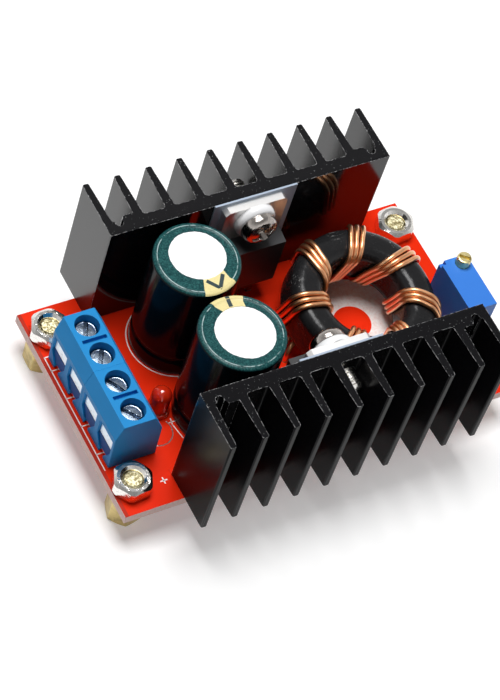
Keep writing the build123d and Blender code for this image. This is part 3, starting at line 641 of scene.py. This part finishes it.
def hex_body(shape, place, low, high, flats, corners, turn, hole, foot):
    """A hexagonal body chamfered at both ends. Hole and foot are circles (radius, height) that close it."""
    angles = full_turn(180, turn)
    rings = [[] for _ in range(4)]
    for angle, bearing in zip(full_turn(180), angles):
        reach = hex_radius(flats, corners, angle)
        inner = min(HEX_FACE, reach)
        drop = max(0.0, (reach - HEX_FACE) * math.tan(math.radians(HEX_SLOPE)))
        edge = ((inner, low), (reach, low + drop), (reach, high - drop), (inner, high))
        for ring, (radius, height) in zip(rings, edge):
            ring += circle(place, radius, height, [bearing])
    below = [circle(place, *point, angles) for point in foot]
    above = [circle(place, *point, angles) for point in hole]
    shape.grid(below + rings + above)


def nuts():
    shape = Shape()
    sink = NUT_HIGH - (NUT_COUNTERSINK - NUT_HOLE) * 0.9
    hole = [(NUT_COUNTERSINK, NUT_HIGH), (NUT_HOLE, sink)]
    hole += thread(sink, NUT_LOW + 0.3, -0.25, ((NUT_HOLE + 0.1, -0.12), (NUT_HOLE, -0.25)))
    hole.append((NUT_HOLE, NUT_LOW))
    foot = [(NUT_HOLE, NUT_LOW)]
    for place, turn in zip(MOUNTS, NUT_TURNS):
        hex_body(shape, place, NUT_LOW, NUT_HIGH, NUT_FLATS, NUT_CORNERS, turn, hole, foot)
    shape.made("nut_set", [NICKEL], replaces=["nuts"], slot="nickel_plate", sharp=25)


def standoffs():
    """Hexagonal posts, tapped below, each with a threaded stud whose end is torn."""
    shape = Shape()
    tap = [(0.0, TAP_DEPTH), (TAP_RADIUS, TAP_DEPTH), (TAP_RADIUS, 0.25), (TAP_RADIUS + 0.25, 0.0)]
    ridge, valley, end = STUD_RADIUS, STUD_RADIUS - 0.14, STUD_TOP - STUD_CHAMFER
    one_turn = ((ridge, -0.1), (valley, -0.35), (ridge, -THREAD_PITCH))
    stud = [(ridge - 0.05, end)]
    stud += thread(end, BOARD_BOTTOM + THREAD_PITCH, -THREAD_PITCH, one_turn)
    stud.append((ridge, BOARD_BOTTOM))
    torn = [(ridge - 0.05, end), (ridge - 0.25, STUD_TOP - 0.05), (0.8, STUD_TOP), (0.0, STUD_TOP - 0.06)]
    for index, place in enumerate(MOUNTS):
        turn = 12.0 + 17.0 * index
        sizes = (0.0, BOARD_BOTTOM, STANDOFF_FLATS, STANDOFF_CORNERS)
        hex_body(shape, place, *sizes, turn, [(0.0, BOARD_BOTTOM)], tap)
        shape.lathe(stud[::-1], place, 48)
        shape.lathe(torn, place, 48, slot=1)
    shape.made("standoff_set", [BRASS, STUD], replaces=["standoffs"], slot="brass", sharp=25)


nuts()
standoffs()


# Capacitors
CAPACITOR_RADIUS = 6.5
CAPACITORS = {
    # Middle of the bare disc from the can's axis, its radius, and the cream band's edges in degrees
    "input": {"disc": (0.33, 0.53), "opening": 4.2, "band": (-106.0, -56.5)},
    "output": {"disc": (0.38, -0.10), "opening": 4.42, "band": (62.5, 109.5)},
}
ROLL = 0.6  # radius of the rolled top edge
RIM_DROP = 0.05
GROOVE_HEIGHT = 3.4
GROOVE_DEPTH = 0.22


def sleeve(name, facts):
    """Shrink film: a groove round its foot, a rolled top edge with a ridge, and a ragged round opening."""
    node = f"{name}_capacitor_sleeve"
    place = centre(node).xy
    low, top = span(node)[0].z, span(node)[1].z
    outer = CAPACITOR_RADIUS
    groove = low + GROOVE_HEIGHT
    profile = [(outer - 0.25, low), (outer - 0.06, low + 0.25), (outer, low + 0.7), (outer, groove - 1.0)]
    for share in np.linspace(0, 1, 9):
        profile.append((outer - GROOVE_DEPTH * math.sin(math.pi * share) ** 2, groove - 0.8 + 1.6 * share))
    profile.append((outer, groove + 1.4))
    band_row = len(profile) + 4
    profile += arc((outer - ROLL, top - ROLL), ROLL, 0, 90, 12)
    ridge = outer - ROLL
    profile += [(ridge - 0.04, top + 0.03), (ridge - 0.10, top + 0.05), (ridge - 0.16, top + 0.03)]
    profile += [(ridge - 0.22, top - 0.02), (ridge - 0.55, top - RIM_DROP)]
    start, end = (math.radians(edge) for edge in facts["band"])
    inside = max(4, int((end - start) / math.radians(2.5)))
    outside = int((2 * math.pi - end + start) / math.radians(2.5))
    angles = [start + (end - start) * step / inside for step in range(inside)]
    angles += [end + (2 * math.pi - end + start) * step / outside for step in range(outside)]
    rows = [circle(place, *point, angles) for point in profile]
    rim = []
    for angle in angles:
        ragged = 0.02 * math.sin(7 * angle + 1.3) + 0.012 * math.sin(17 * angle)
        ragged += 0.015 * math.sin(31 * angle + 2)
        rim += circle(place + Vector(facts["disc"]), facts["opening"] + ragged, top - RIM_DROP, [angle])
    rows += [rim, [(x, y, top - 0.15) for x, y, _ in rim]]
    plain = [0] * len(angles)
    band = [1 if index < inside else 0 for index in range(len(angles))]
    slots = []
    for row in range(len(rows) - 1):
        slots += band if row >= band_row else plain
    shape = Shape()
    shape.grid(rows, slots)
    shape.made(f"{name}_sleeve", [FILM, CREAM], replaces=[node], slot="sleeve_dark", sharp=50)


for capacitor, facts in CAPACITORS.items():
    sleeve(capacitor, facts)


def sleeve_roof(radius):
    """Height of the sleeve's top at a radius, above or below its nominal top."""
    edge = CAPACITOR_RADIUS - ROLL
    if edge - 0.22 < radius <= edge:
        return 0.055 * math.sin(math.pi * (edge - radius) / 0.22)
    if radius <= edge:
        return -RIM_DROP * min(1.0, (edge - radius) / 0.55)
    return math.sqrt(max(ROLL**2 - (radius - edge) ** 2, 0.0)) - ROLL


def stroke(shape, place, points, width, thickness=0.014):
    """A printed stroke over the sleeve's curved top, through points (radius, degrees)."""
    line = [Matrix.Rotation(math.radians(angle), 4, "Z") @ Vector((radius, 0, 0)) for radius, angle in points]
    path = []
    for a, b in zip(line, line[1:]):
        path += [a.lerp(b, share) for share in np.linspace(0, 1, 13)[:-1]]
    path.append(line[-1])
    rows = []
    for index, point in enumerate(path):
        along = path[min(index + 1, len(path) - 1)] - path[max(index - 1, 0)]
        side = Vector((-along.y, along.x, 0)).normalized() * width / 2
        row = []
        for share, lift in ((-1, 0), (-1, 1), (0, 1), (1, 1), (1, 0)):
            at = point + side * share
            height = SLEEVE_TOP + sleeve_roof(at.length) + thickness * lift
            row.append((place.x + at.x, place.y + at.y, height))
        rows.append(row)
    shape.grid(rows, closed=False)


def sleeve_marks():
    """The dark strokes on the two cream bands."""
    shape = Shape()
    stroke(shape, centre("input_capacitor_can"), [(3.95, -97.5), (5.72, -81.5), (4.25, -58)], 0.58)
    stroke(shape, centre("output_capacitor_can"), [(4.45, 84.6), (6.32, 84.6)], 0.6)
    shape.made("sleeve_marks", [DARK_PRINT], slot="sleeve_dark")


sleeve_marks()


# Inductor: a core that leans on its winding. In its own frame its middle is the origin and its axis is Z
CORE_LEAN = 9.0  # degrees
CORE_LEAN_AXIS = 25.0  # degrees
CORE_OUTER = 11.4
CORE_INNER = 6.45
CORE_TALL = 7.7
CORE_ROUND = 1.75
WIRE = 0.39  # radius of a strand
WIRE_GAP = 0.03
WIRE_PITCH = 0.80  # between strands in the bore
WIRE_FAN = 0.045  # more pitch for each millimetre further out
WIRE_STEP = 0.2
WIRE_EASE = 2.0  # length over which a strand changes its slant
TURNS = (
    # Angle at the outer wall, at the end of the flat top, and at the foot of the bore
    (-136.0, -131.0, -120.0),
    (-79.0, -74.0, -60.0),
    (-32.0, -20.5, -7.0),
    (22.0, 24.0, 50.0),
    (68.5, 76.5, 89.0),
    (116.0, 128.5, 158.0),
    (172.0, 172.5, 181.0),
)
WINDING_START = -143.0
WINDING_END = 184.0
ENDS_PITCH = 1.4
LEAN_TURN = Matrix.Rotation(math.radians(CORE_LEAN_AXIS), 4, "Z")
LEAN = LEAN_TURN @ Matrix.Rotation(math.radians(CORE_LEAN), 4, "X") @ LEAN_TURN.inverted()
CORE_FRAME = Matrix.Translation(centre("inductor_core")) @ LEAN


def on_core(radius, bearing, height):
    """A place round the core's axis, in the object's own frame."""
    return CORE_FRAME @ Vector((radius * math.cos(bearing), radius * math.sin(bearing), height))


def section_runs(gap):
    """Straight walls, flats and rounded corners of the core's section, at a gap outside it."""
    bend = CORE_ROUND + gap
    wall = CORE_TALL - 2 * CORE_ROUND
    flat = CORE_OUTER - CORE_INNER - 2 * CORE_ROUND
    quarter = math.pi / 2 * bend
    outer, inner = CORE_OUTER - CORE_ROUND, CORE_INNER + CORE_ROUND
    high = wall / 2
    return (
        ("line", high, (outer + bend, 0), (0, 1)),
        ("bend", quarter, (outer, high), 0),
        ("line", flat, (outer, high + bend), (-1, 0)),
        ("bend", quarter, (inner, high), 90),
        ("line", wall, (inner - bend, high), (0, -1)),
        ("bend", quarter, (inner, -high), 180),
        ("line", flat, (inner, -high - bend), (1, 0)),
        ("bend", quarter, (outer, -high), 270),
        ("line", high, (outer + bend, -high), (0, 1)),
    )


def section_point(along, gap):
    """Point (radius, height) on the section, at a distance from the middle of the outer wall upwards."""
    bend = CORE_ROUND + gap
    for kind, length, at, facts in section_runs(gap):
        if along <= length:
            if kind == "line":
                return at[0] + facts[0] * along, at[1] + facts[1] * along
            turn = math.radians(facts) + along / bend
            return at[0] + bend * math.cos(turn), at[1] + bend * math.sin(turn)
        along -= length
    return CORE_OUTER + gap, 0.0


def section_marks(gap):
    """Distances at which the section's runs end."""
    return list(np.cumsum([length for _, length, _, _ in section_runs(gap)]))


def winding_line():
    """The middle strand's line: distances along the section and smoothed angles round the core."""
    marks = section_marks(WIRE + WIRE_GAP)
    around = marks[-1]
    knots, angles = [], []
    for index, (outer, over, foot) in enumerate(TURNS):
        following = TURNS[index + 1][0] if index + 1 < len(TURNS) else WINDING_END
        base = index * around
        knots += [base + marks[0], base + marks[2], base + marks[4], base + marks[7]]
        angles += [outer, over, foot, following - 3]
    spare = 3.0
    samples = np.arange(-spare, (len(TURNS) - 1) * around + marks[6] + spare, WIRE_STEP)
    turns = np.interp(samples, [-2.0] + knots, [(WINDING_START + TURNS[0][0]) / 2] + angles)
    window = 24
    spread = np.arange(-window, window + 1) * WIRE_STEP
    kernel = np.exp(-0.5 * (spread / WIRE_EASE) ** 2)
    padded = np.pad(turns, window, mode="edge")
    turns = np.convolve(padded, kernel / kernel.sum(), mode="valid")
    kept = (samples >= 0) & (samples <= samples[-1] - spare)
    rates = np.gradient(np.radians(turns), samples)
    return samples[kept], turns[kept], rates[kept], around


def bend_between(first, leaving, last, arriving, steps=14):
    """Points of a smooth bend between two points and directions."""
    reach = (last - first).length
    a, b = leaving.normalized() * reach, arriving.normalized() * reach
    points = []
    for share in np.linspace(0, 1, steps + 1)[1:-1]:
        square, cube = share**2, share**3
        points.append(
            first * (2 * cube - 3 * square + 1)
            + a * (cube - 2 * square + share)
            + last * (3 * square - 2 * cube)
            + b * (cube - square)
        )
    return points


def strand_hole(angle, place):
    """Where a strand's end turns down towards its hole in the board."""
    reach = CORE_OUTER + WIRE + 0.05
    bearing = math.radians(angle) + place * ENDS_PITCH / reach
    below = -CORE_TALL / 2 - WIRE - 0.05
    return on_core(reach, bearing, below)


def strand_route(place):
    """A strand's points: up from the board, round the core turn after turn, and down again."""
    gap = WIRE + WIRE_GAP
    points = []
    samples, turns, rates, around = winding_line()
    for along, turn, rate in zip(samples, turns, rates):
        radius = section_point(along % around, gap)[0]
        round_share, along_share = rate * radius, 1.0
        length = math.hypot(round_share, along_share)
        shift = place * (WIRE_PITCH + WIRE_FAN * (radius - CORE_INNER))
        radius, height = section_point((along - shift * round_share / length) % around, gap)
        bearing = math.radians(turn) + shift * along_share / length / radius
        points.append(on_core(radius, bearing, height))
    foot = span("inductor_winding")[0].z
    up = Vector((0, 0, 1))
    start = strand_hole(WINDING_START, place)
    rise = [Vector((start.x, start.y, z)) for z in np.arange(foot, start.z - 0.2, 0.5)] + [start]
    rise += bend_between(start, up, points[0], points[1] - points[0])
    end = strand_hole(WINDING_END, place)
    low = Vector((end.x, end.y, BOARD_TOP + 0.6))
    drop = bend_between(points[-1], points[-1] - points[-2], low, -up) + [low]
    drop += [Vector((end.x, end.y, z)) for z in np.arange(BOARD_TOP, foot, -0.5)]
    return rise + points + drop + [Vector((end.x, end.y, foot))]


def inductor():
    total = section_marks(0.0)[-1]
    section = [section_point(total * index / 56, 0.0) for index in range(56)]
    rows = [[on_core(radius, turn, height) for radius, height in section] for turn in full_turn(96)]
    shape = Shape()
    shape.grid(rows + rows[:1])
    shape.made("toroid", [CORE], replaces=["inductor_core"], slot="core_coating", sharp=0)
    wires = Shape()
    for place in (-1, 0, 1):
        wires.sweep(strand_route(place), WIRE)
    wires.made("toroid_winding", [COPPER], replaces=["inductor_winding"], slot="copper_wire", sharp=50)


inductor()


# Screws of the power packages: pan heads on white bushes
PAN_RADIUS = 2.75
PAN_HEIGHT = 2.1
PAN_RECESS = 1.25
BUSH_BORE = 1.56
BUSH_RADIUS = 3.2
BUSH_THICK = 1.3
NECK_RADIUS = 1.85
NECK_LONG = 1.5


def across(node):
    """A matrix that lays a form turned about Z along a node's Y axis, its top towards the board's middle."""
    low, high = span(node)
    middle = (low + high) / 2
    towards = -1 if middle.y > 0 else 1
    inner = low.y if middle.y > 0 else high.y
    turn = Matrix.Rotation(math.radians(90) * -towards, 4, "X")
    return Matrix.Translation((middle.x, inner, middle.z)) @ turn


def pan_head(shape, matrix, segments=96):
    """A domed head with a pressed cross, whose top is at height 0."""
    profile = [(radius, -PAN_HEIGHT) for radius in (1.5, 2.0, 2.45, PAN_RADIUS)]
    profile.append((PAN_RADIUS, -PAN_HEIGHT + 0.4))
    profile += shoulder(PAN_RADIUS, -PAN_HEIGHT + 0.4, 0.9, 1.2, 0.15, 1.35, 9)
    crown, crown_height = profile[-1]

    def top(x, y):
        out = math.hypot(x, y)
        near, far = sorted((abs(x), abs(y)))
        arm = ramp(near, 0.42, 0.30) * ramp(far, 1.75, 1.40)
        return crown_height * (out / crown) ** 2 - PAN_RECESS * max(arm * 0.8, ramp(out, 0.85, 0.60))

    rings = [circle((0, 0), *point, full_turn(segments)) for point in profile]
    rings += carved((0, 0), crown * np.linspace(0.9, 0.0, 22), segments, top)
    shape.grid(rings, matrix=matrix)


def package_screw(package):
    node = f"{package}_screw"
    low, high = span(node)
    length = high.y - low.y
    matrix = across(node) @ Matrix.Rotation(math.radians(30), 4, "Z")
    shape = Shape()
    pan_head(shape, matrix)
    shank = [(1.45, -PAN_HEIGHT)]
    shank += thread(-PAN_HEIGHT - 0.3, 0.5 - length, -THREAD_PITCH, ((1.5, 0.0), (1.22, -0.25)))
    shank += [(1.35, 0.25 - length), (1.05, -length), (0.0, -length)]
    shape.lathe(shank, segments=48, slot=1, matrix=matrix)
    # The heads take the darker painted-shade metal, the threads the bright nickel
    shape.made(f"{package}_pan_screw", [SHADED_SCREW_STEEL, NICKEL], replaces=[node], slot="nickel_plate", sharp=45)


def package_bush(package):
    """A white collar under the screw's head, with a neck that goes through the tab."""
    node = f"{package}_bush"
    back = -BUSH_THICK - NECK_LONG
    profile = [(BUSH_BORE, back), (NECK_RADIUS, back), (NECK_RADIUS, -BUSH_THICK), (BUSH_RADIUS, -BUSH_THICK)]
    profile.append((BUSH_RADIUS, -BUSH_THICK + 0.35))
    profile += shoulder(BUSH_RADIUS, -BUSH_THICK + 0.35, 0.7, 0.9, 0.1, 1.5, 9)
    profile += [(1.9, 0.0), (BUSH_BORE, -0.05), (BUSH_BORE, back)]
    shape = Shape()
    shape.lathe(profile, matrix=across(node))
    shape.made(f"{package}_collar", [BUSH], replaces=[node], slot="bush_white", sharp=40)


for package in ("transistor", "rectifier"):
    package_screw(package)
    package_bush(package)


# Terminals: clamp screws down in their wells, and the plates at the clamps' mouths
SLOT_ANGLES = (62.0, 58.0, -60.0, -53.0)  # degrees
CLAMP_HEAD = 1.7
CLAMP_FACE = 1.42
CLAMP_SHANK = 1.25
CLAMP_SLOT = 0.26  # half its width
CLAMP_SLOT_DEEP = 0.7
PLATE_FOOT = BOARD_TOP + 3.3
SILL_FOOT = BOARD_TOP + 1.0


def clamp_screw(number, angle):
    node = f"terminal_screw_{number}"
    place = centre(node).xy
    low, top = span(node)[0].z, span(node)[1].z

    def face(x, y):
        dome = 0.06 * (1 - (math.hypot(x, y) / CLAMP_FACE) ** 2)
        return top - 0.06 + dome - CLAMP_SLOT_DEEP * slot_cut(x, y, angle, CLAMP_SLOT)

    under = top - 1.15
    profile = [(CLAMP_SHANK, under), (CLAMP_HEAD - 0.12, under), (CLAMP_HEAD, top - 1.0)]
    profile.append((CLAMP_HEAD, top - 0.3))
    profile += shoulder(CLAMP_HEAD, top - 0.3, 0.28, 0.28, 0.3, 1.3, 4)
    rings = [circle(place, *point, full_turn(96)) for point in profile]
    rings += carved(place, np.linspace(CLAMP_FACE, 0.0, 26), 96, face)
    shape = Shape()
    shape.grid(rings)
    shank = [(0.0, low), (0.8, low), (0.85, low + 0.05), (0.85, low + 0.25), (0.6, low + 0.26)]
    shank.append((0.6, low + 0.75))
    shank += thread(low + 0.75, top - 1.6, THREAD_PITCH, ((1.05, 0.0), (CLAMP_SHANK, 0.25)))
    shank.append((CLAMP_SHANK, under))
    shape.lathe(shank, place, 40)
    name, body = f"clamp_screw_{number}_detail", f"clamp_screw_{number}"
    shape.made(name, [ZINC], body=body, replaces=[node], slot="tin_plate", sharp=35)


for index, angle in enumerate(SLOT_ANGLES):
    clamp_screw(index + 1, angle)


def clamp_plates():
    """A pale plate at the top of each clamp's mouth, over a sill of the housing painted dark blue as shade.
    """
    shape = Shape()
    for number in (1, 2, 3, 4):
        low, high = span(f"terminal_clamp_{number}")
        y = (low.y + high.y) / 2
        shape.block((low.x - 0.02, y - 1.9, PLATE_FOOT), (low.x + 0.3, y + 1.9, high.z - 0.03))
        shape.block((low.x - 0.08, y - 1.95, SILL_FOOT), (low.x - 0.03, y + 1.95, PLATE_FOOT), 1)
    shape.made("clamp_plates", [PLATE, SHADE_PAINTED_BLUE], slot="tin_plate", bevel=0.02)


clamp_plates()


# Trimmer screw
TRIMMER_SLOT_ANGLE = -40.0  # degrees
TRIMMER_SLOT = 0.20  # half its width
TRIMMER_SLOT_DEEP = 0.6


def trimmer_screw():
    low, high = span("trimmer_screw")
    place = centre("trimmer_screw").xy
    reach, top = (high.x - low.x) / 2, high.z

    def face(x, y):
        return top - TRIMMER_SLOT_DEEP * slot_cut(x, y, TRIMMER_SLOT_ANGLE, TRIMMER_SLOT)

    profile = [(0.0, low.z), (reach, low.z), (reach, top - 0.25), (reach - 0.08, top - 0.06)]
    profile.append((reach - 0.22, top))
    rings = [circle(place, *point, full_turn(72)) for point in profile]
    rings += carved(place, np.linspace(reach - 0.24, 0.0, 18), 72, face)
    shape = Shape()
    shape.grid(rings)
    name, body = "trimmer_adjuster_detail", "trimmer_adjuster"
    shape.made(name, [TRIMMER_BRASS], body=body, replaces=["trimmer_screw"], slot="brass", sharp=35)


trimmer_screw()


# Indicator lamp
LAMP_Y = -3.5
LAMP_RADIUS = 1.5
LAMP_FLANGE = 1.85


def lamp():
    """A clear red dome on a flange, over the metal frame inside it."""
    low, high = span("led_lens")
    place = ((low.x + high.x) / 2, LAMP_Y)
    base, top = low.z, high.z
    profile = [(0.0, base), (LAMP_FLANGE, base), (LAMP_FLANGE, base + 0.7), (LAMP_FLANGE - 0.07, base + 0.8)]
    profile += [(LAMP_RADIUS + 0.02, base + 0.85), (LAMP_RADIUS, base + 1.0)]
    profile += arc((0.0, top - LAMP_RADIUS), LAMP_RADIUS, 0, 90, 14)[:-1] + [(0.0, top)]
    shape = Shape()
    shape.lathe(profile, place, 72)
    shape.made("lamp_lens", [LENS], replaces=["led_lens"], slot="lens_red", sharp=40)
    inner = Shape()
    for side, height, wide in ((-1, 3.0, 0.45), (1, 2.6, 0.7)):
        y = LAMP_Y + side * 0.62
        inner.block((place[0] - wide, y - 0.3, base + 0.2), (place[0] + wide, y + 0.3, base + height))
    inner.made("lamp_frame", [TIN], slot="tin_plate", bevel=0.08)


lamp()


# Printed marks: thin raised layers on the board
RING_THICK = 0.02
LINE_THICK = 0.012
LINE_WIDTH = 0.17
PLUS_WIDTH = 0.2
DISC_PLACE = (15.0, 0.5)
DISC_RADII = (2.96, 7.9)
CAPACITOR_RING_RADII = (6.62, 6.80)
TERMINAL_LINE_X = -31.85
TERMINAL_TICK = 1.6
TERMINAL_TICKS = (10.1, 7.65, 2.6, -2.4, -7.4)
TERMINAL_LINE_END = -10.2


def flat_ring(shape, place, radii):
    inner, outer = radii
    top = BOARD_TOP + RING_THICK
    profile = ((inner, BOARD_TOP), (inner, top), (outer, top), (outer, BOARD_TOP))
    shape.lathe(profile, place, 120)


def strip(shape, points, width=LINE_WIDTH):
    """A printed line along points (x, y)."""
    for a, b in zip(points, points[1:]):
        a, b = Vector((*a, 0)), Vector((*b, 0))
        along = (b - a).normalized()
        side = Vector((-along.y, along.x, 0)) * width / 2
        reach = along * width * 0.3
        ring = [a - reach - side, b + reach - side, b + reach + side, a - reach + side]
        corners = [(p.x, p.y, height) for height in (BOARD_TOP, BOARD_TOP + LINE_THICK) for p in ring]
        faces = [(4, 5, 6, 7), (0, 1, 5, 4), (1, 2, 6, 5), (2, 3, 7, 6), (3, 0, 4, 7)]
        shape.add(corners, faces)


def printed_marks():
    shape = Shape()
    flat_ring(shape, DISC_PLACE, DISC_RADII)
    flat_ring(shape, centre("input_capacitor_can").xy, CAPACITOR_RING_RADII)
    # The terminals' outline, with a tick at each pole
    strip(shape, [(TERMINAL_LINE_X, TERMINAL_TICKS[0]), (TERMINAL_LINE_X, TERMINAL_LINE_END)])
    for y in TERMINAL_TICKS:
        strip(shape, [(TERMINAL_LINE_X, y), (TERMINAL_LINE_X + TERMINAL_TICK, y)])
    # The lamp's outline and the marks beside it
    strip(shape, arc((-21.9, -6.9), 2.35, 28, -115, 47))
    strip(shape, [(-19.0, -5.5), (-19.15, -6.6), (-18.7, -9.1)])
    strip(shape, [(-19.5, -6.1), (-18.5, -6.1)])
    # A plus sign near the corner, and the end of a line on the far side
    strip(shape, [(-25.1, -14.6), (-24.1, -14.6)], PLUS_WIDTH)
    strip(shape, [(-24.6, -15.1), (-24.6, -14.1)], PLUS_WIDTH)
    strip(shape, [(-25.4, 14.0), (-22.6, 14.0)])
    shape.made("board_print", [INK], replaces=["printed_marks"], slot="print_white", sharp=30)


printed_marks()


# Camera, floor and softbox. Lengths of the floor and the softbox are in metres
PHOTO = {"focal": 2930.768, "centre_x": 258.256, "width": 500, "height": 700}  # pixels
CAMERA_PLACE = (-182.24, -183.98, 345.48 + BOARD_TOP)
CAMERA_RIGHT = (0.8659, -0.4533, 0.2116)
CAMERA_DOWN = (-0.2722, -0.7818, -0.5610)
SENSOR = 36.0
FLOOR_HALF = 3.0
FLOOR_GLOW = 0.30  # only for the camera's, glossy and transmitted rays
WORLD_FILL = 0.06
WORLD_LOW, WORLD_HIGH = 1.0, 0.25  # what gloss mirrors near the horizon and overhead
SOFTBOX_PLACE = (-0.01, 0.11, 0.57)
SOFTBOX_TARGET = (0, 0, 0.01)
SOFTBOX_SIDE = 0.28
SOFTBOX_WATTS = 3.6


def camera():
    data = bpy.data.cameras.new("camera")
    data.sensor_fit = "AUTO"
    data.sensor_width = SENSOR
    data.lens = PHOTO["focal"] * SENSOR / PHOTO["height"]
    data.shift_x = (PHOTO["width"] / 2 - PHOTO["centre_x"]) / PHOTO["height"]
    data.clip_start = 0.01
    data.clip_end = 10
    shown = bpy.data.objects.new("camera", data)
    bpy.context.scene.collection.objects.link(shown)
    right = Vector(CAMERA_RIGHT).normalized()
    up = (-Vector(CAMERA_DOWN)).normalized()
    back = right.cross(up).normalized()
    up = back.cross(right)
    axes = Matrix((right, up, back)).transposed().to_4x4()
    shown.matrix_world = Matrix.Translation(Vector(CAMERA_PLACE) * MM) @ axes
    bpy.context.scene.camera = shown


def floor():
    mesh = bpy.data.meshes.new("floor")
    corners = [(x * FLOOR_HALF, y * FLOOR_HALF, 0) for x, y in ((-1, -1), (1, -1), (1, 1), (-1, 1))]
    mesh.from_pydata(corners, [], [(0, 1, 2, 3)])
    shown = bpy.data.objects.new("floor", mesh)
    bpy.context.scene.collection.objects.link(shown)
    look = Look("floor_white", (0.80, 0.80, 0.80), 0.9)
    look.set("Specular IOR Level", 0.0)
    rays = look.node("ShaderNodeLightPath").outputs
    seen = look.math("MAXIMUM", rays["Is Camera Ray"], rays["Is Glossy Ray"])
    seen = look.math("MAXIMUM", seen, rays["Is Transmission Ray"])
    look.set("Emission Color", (1.0, 1.0, 1.0, 1.0))
    look.set("Emission Strength", look.math("MULTIPLY", seen, FLOOR_GLOW))
    mesh.materials.append(look.material)


def world():
    """An even studio whose reflection is bright near the floor and darker overhead."""
    made = bpy.data.worlds.new("studio")
    made.use_nodes = True
    bpy.context.scene.world = made
    background = made.node_tree.nodes["Background"]
    background.inputs["Color"].default_value = (1.0, 1.0, 1.0, 1.0)
    nodes = Nodes(made.node_tree)
    rays = nodes.node("ShaderNodeLightPath").outputs
    height = nodes.axis("Z", nodes.node("ShaderNodeTexCoord").outputs["Generated"])
    sky = nodes.range(height, WORLD_LOW, WORLD_HIGH, 0.25, 0.85)
    mirrored = nodes.math("MAXIMUM", rays["Is Glossy Ray"], rays["Is Transmission Ray"])
    strength = nodes.range(mirrored, WORLD_FILL, sky)
    nodes.put(background.inputs["Strength"], nodes.math("MAXIMUM", strength, rays["Is Camera Ray"]))


def softbox():
    data = bpy.data.lights.new("top_softbox", "AREA")
    data.shape = "RECTANGLE"
    data.size = data.size_y = SOFTBOX_SIDE
    data.energy = SOFTBOX_WATTS
    shown = bpy.data.objects.new("top_softbox", data)
    bpy.context.scene.collection.objects.link(shown)
    shown.location = SOFTBOX_PLACE
    shown.rotation_mode = "QUATERNION"
    shown.rotation_quaternion = (Vector(SOFTBOX_TARGET) - Vector(SOFTBOX_PLACE)).to_track_quat("-Z", "Y")


camera()
floor()
world()
softbox()

bpy.context.scene.view_settings.view_transform = "Standard"
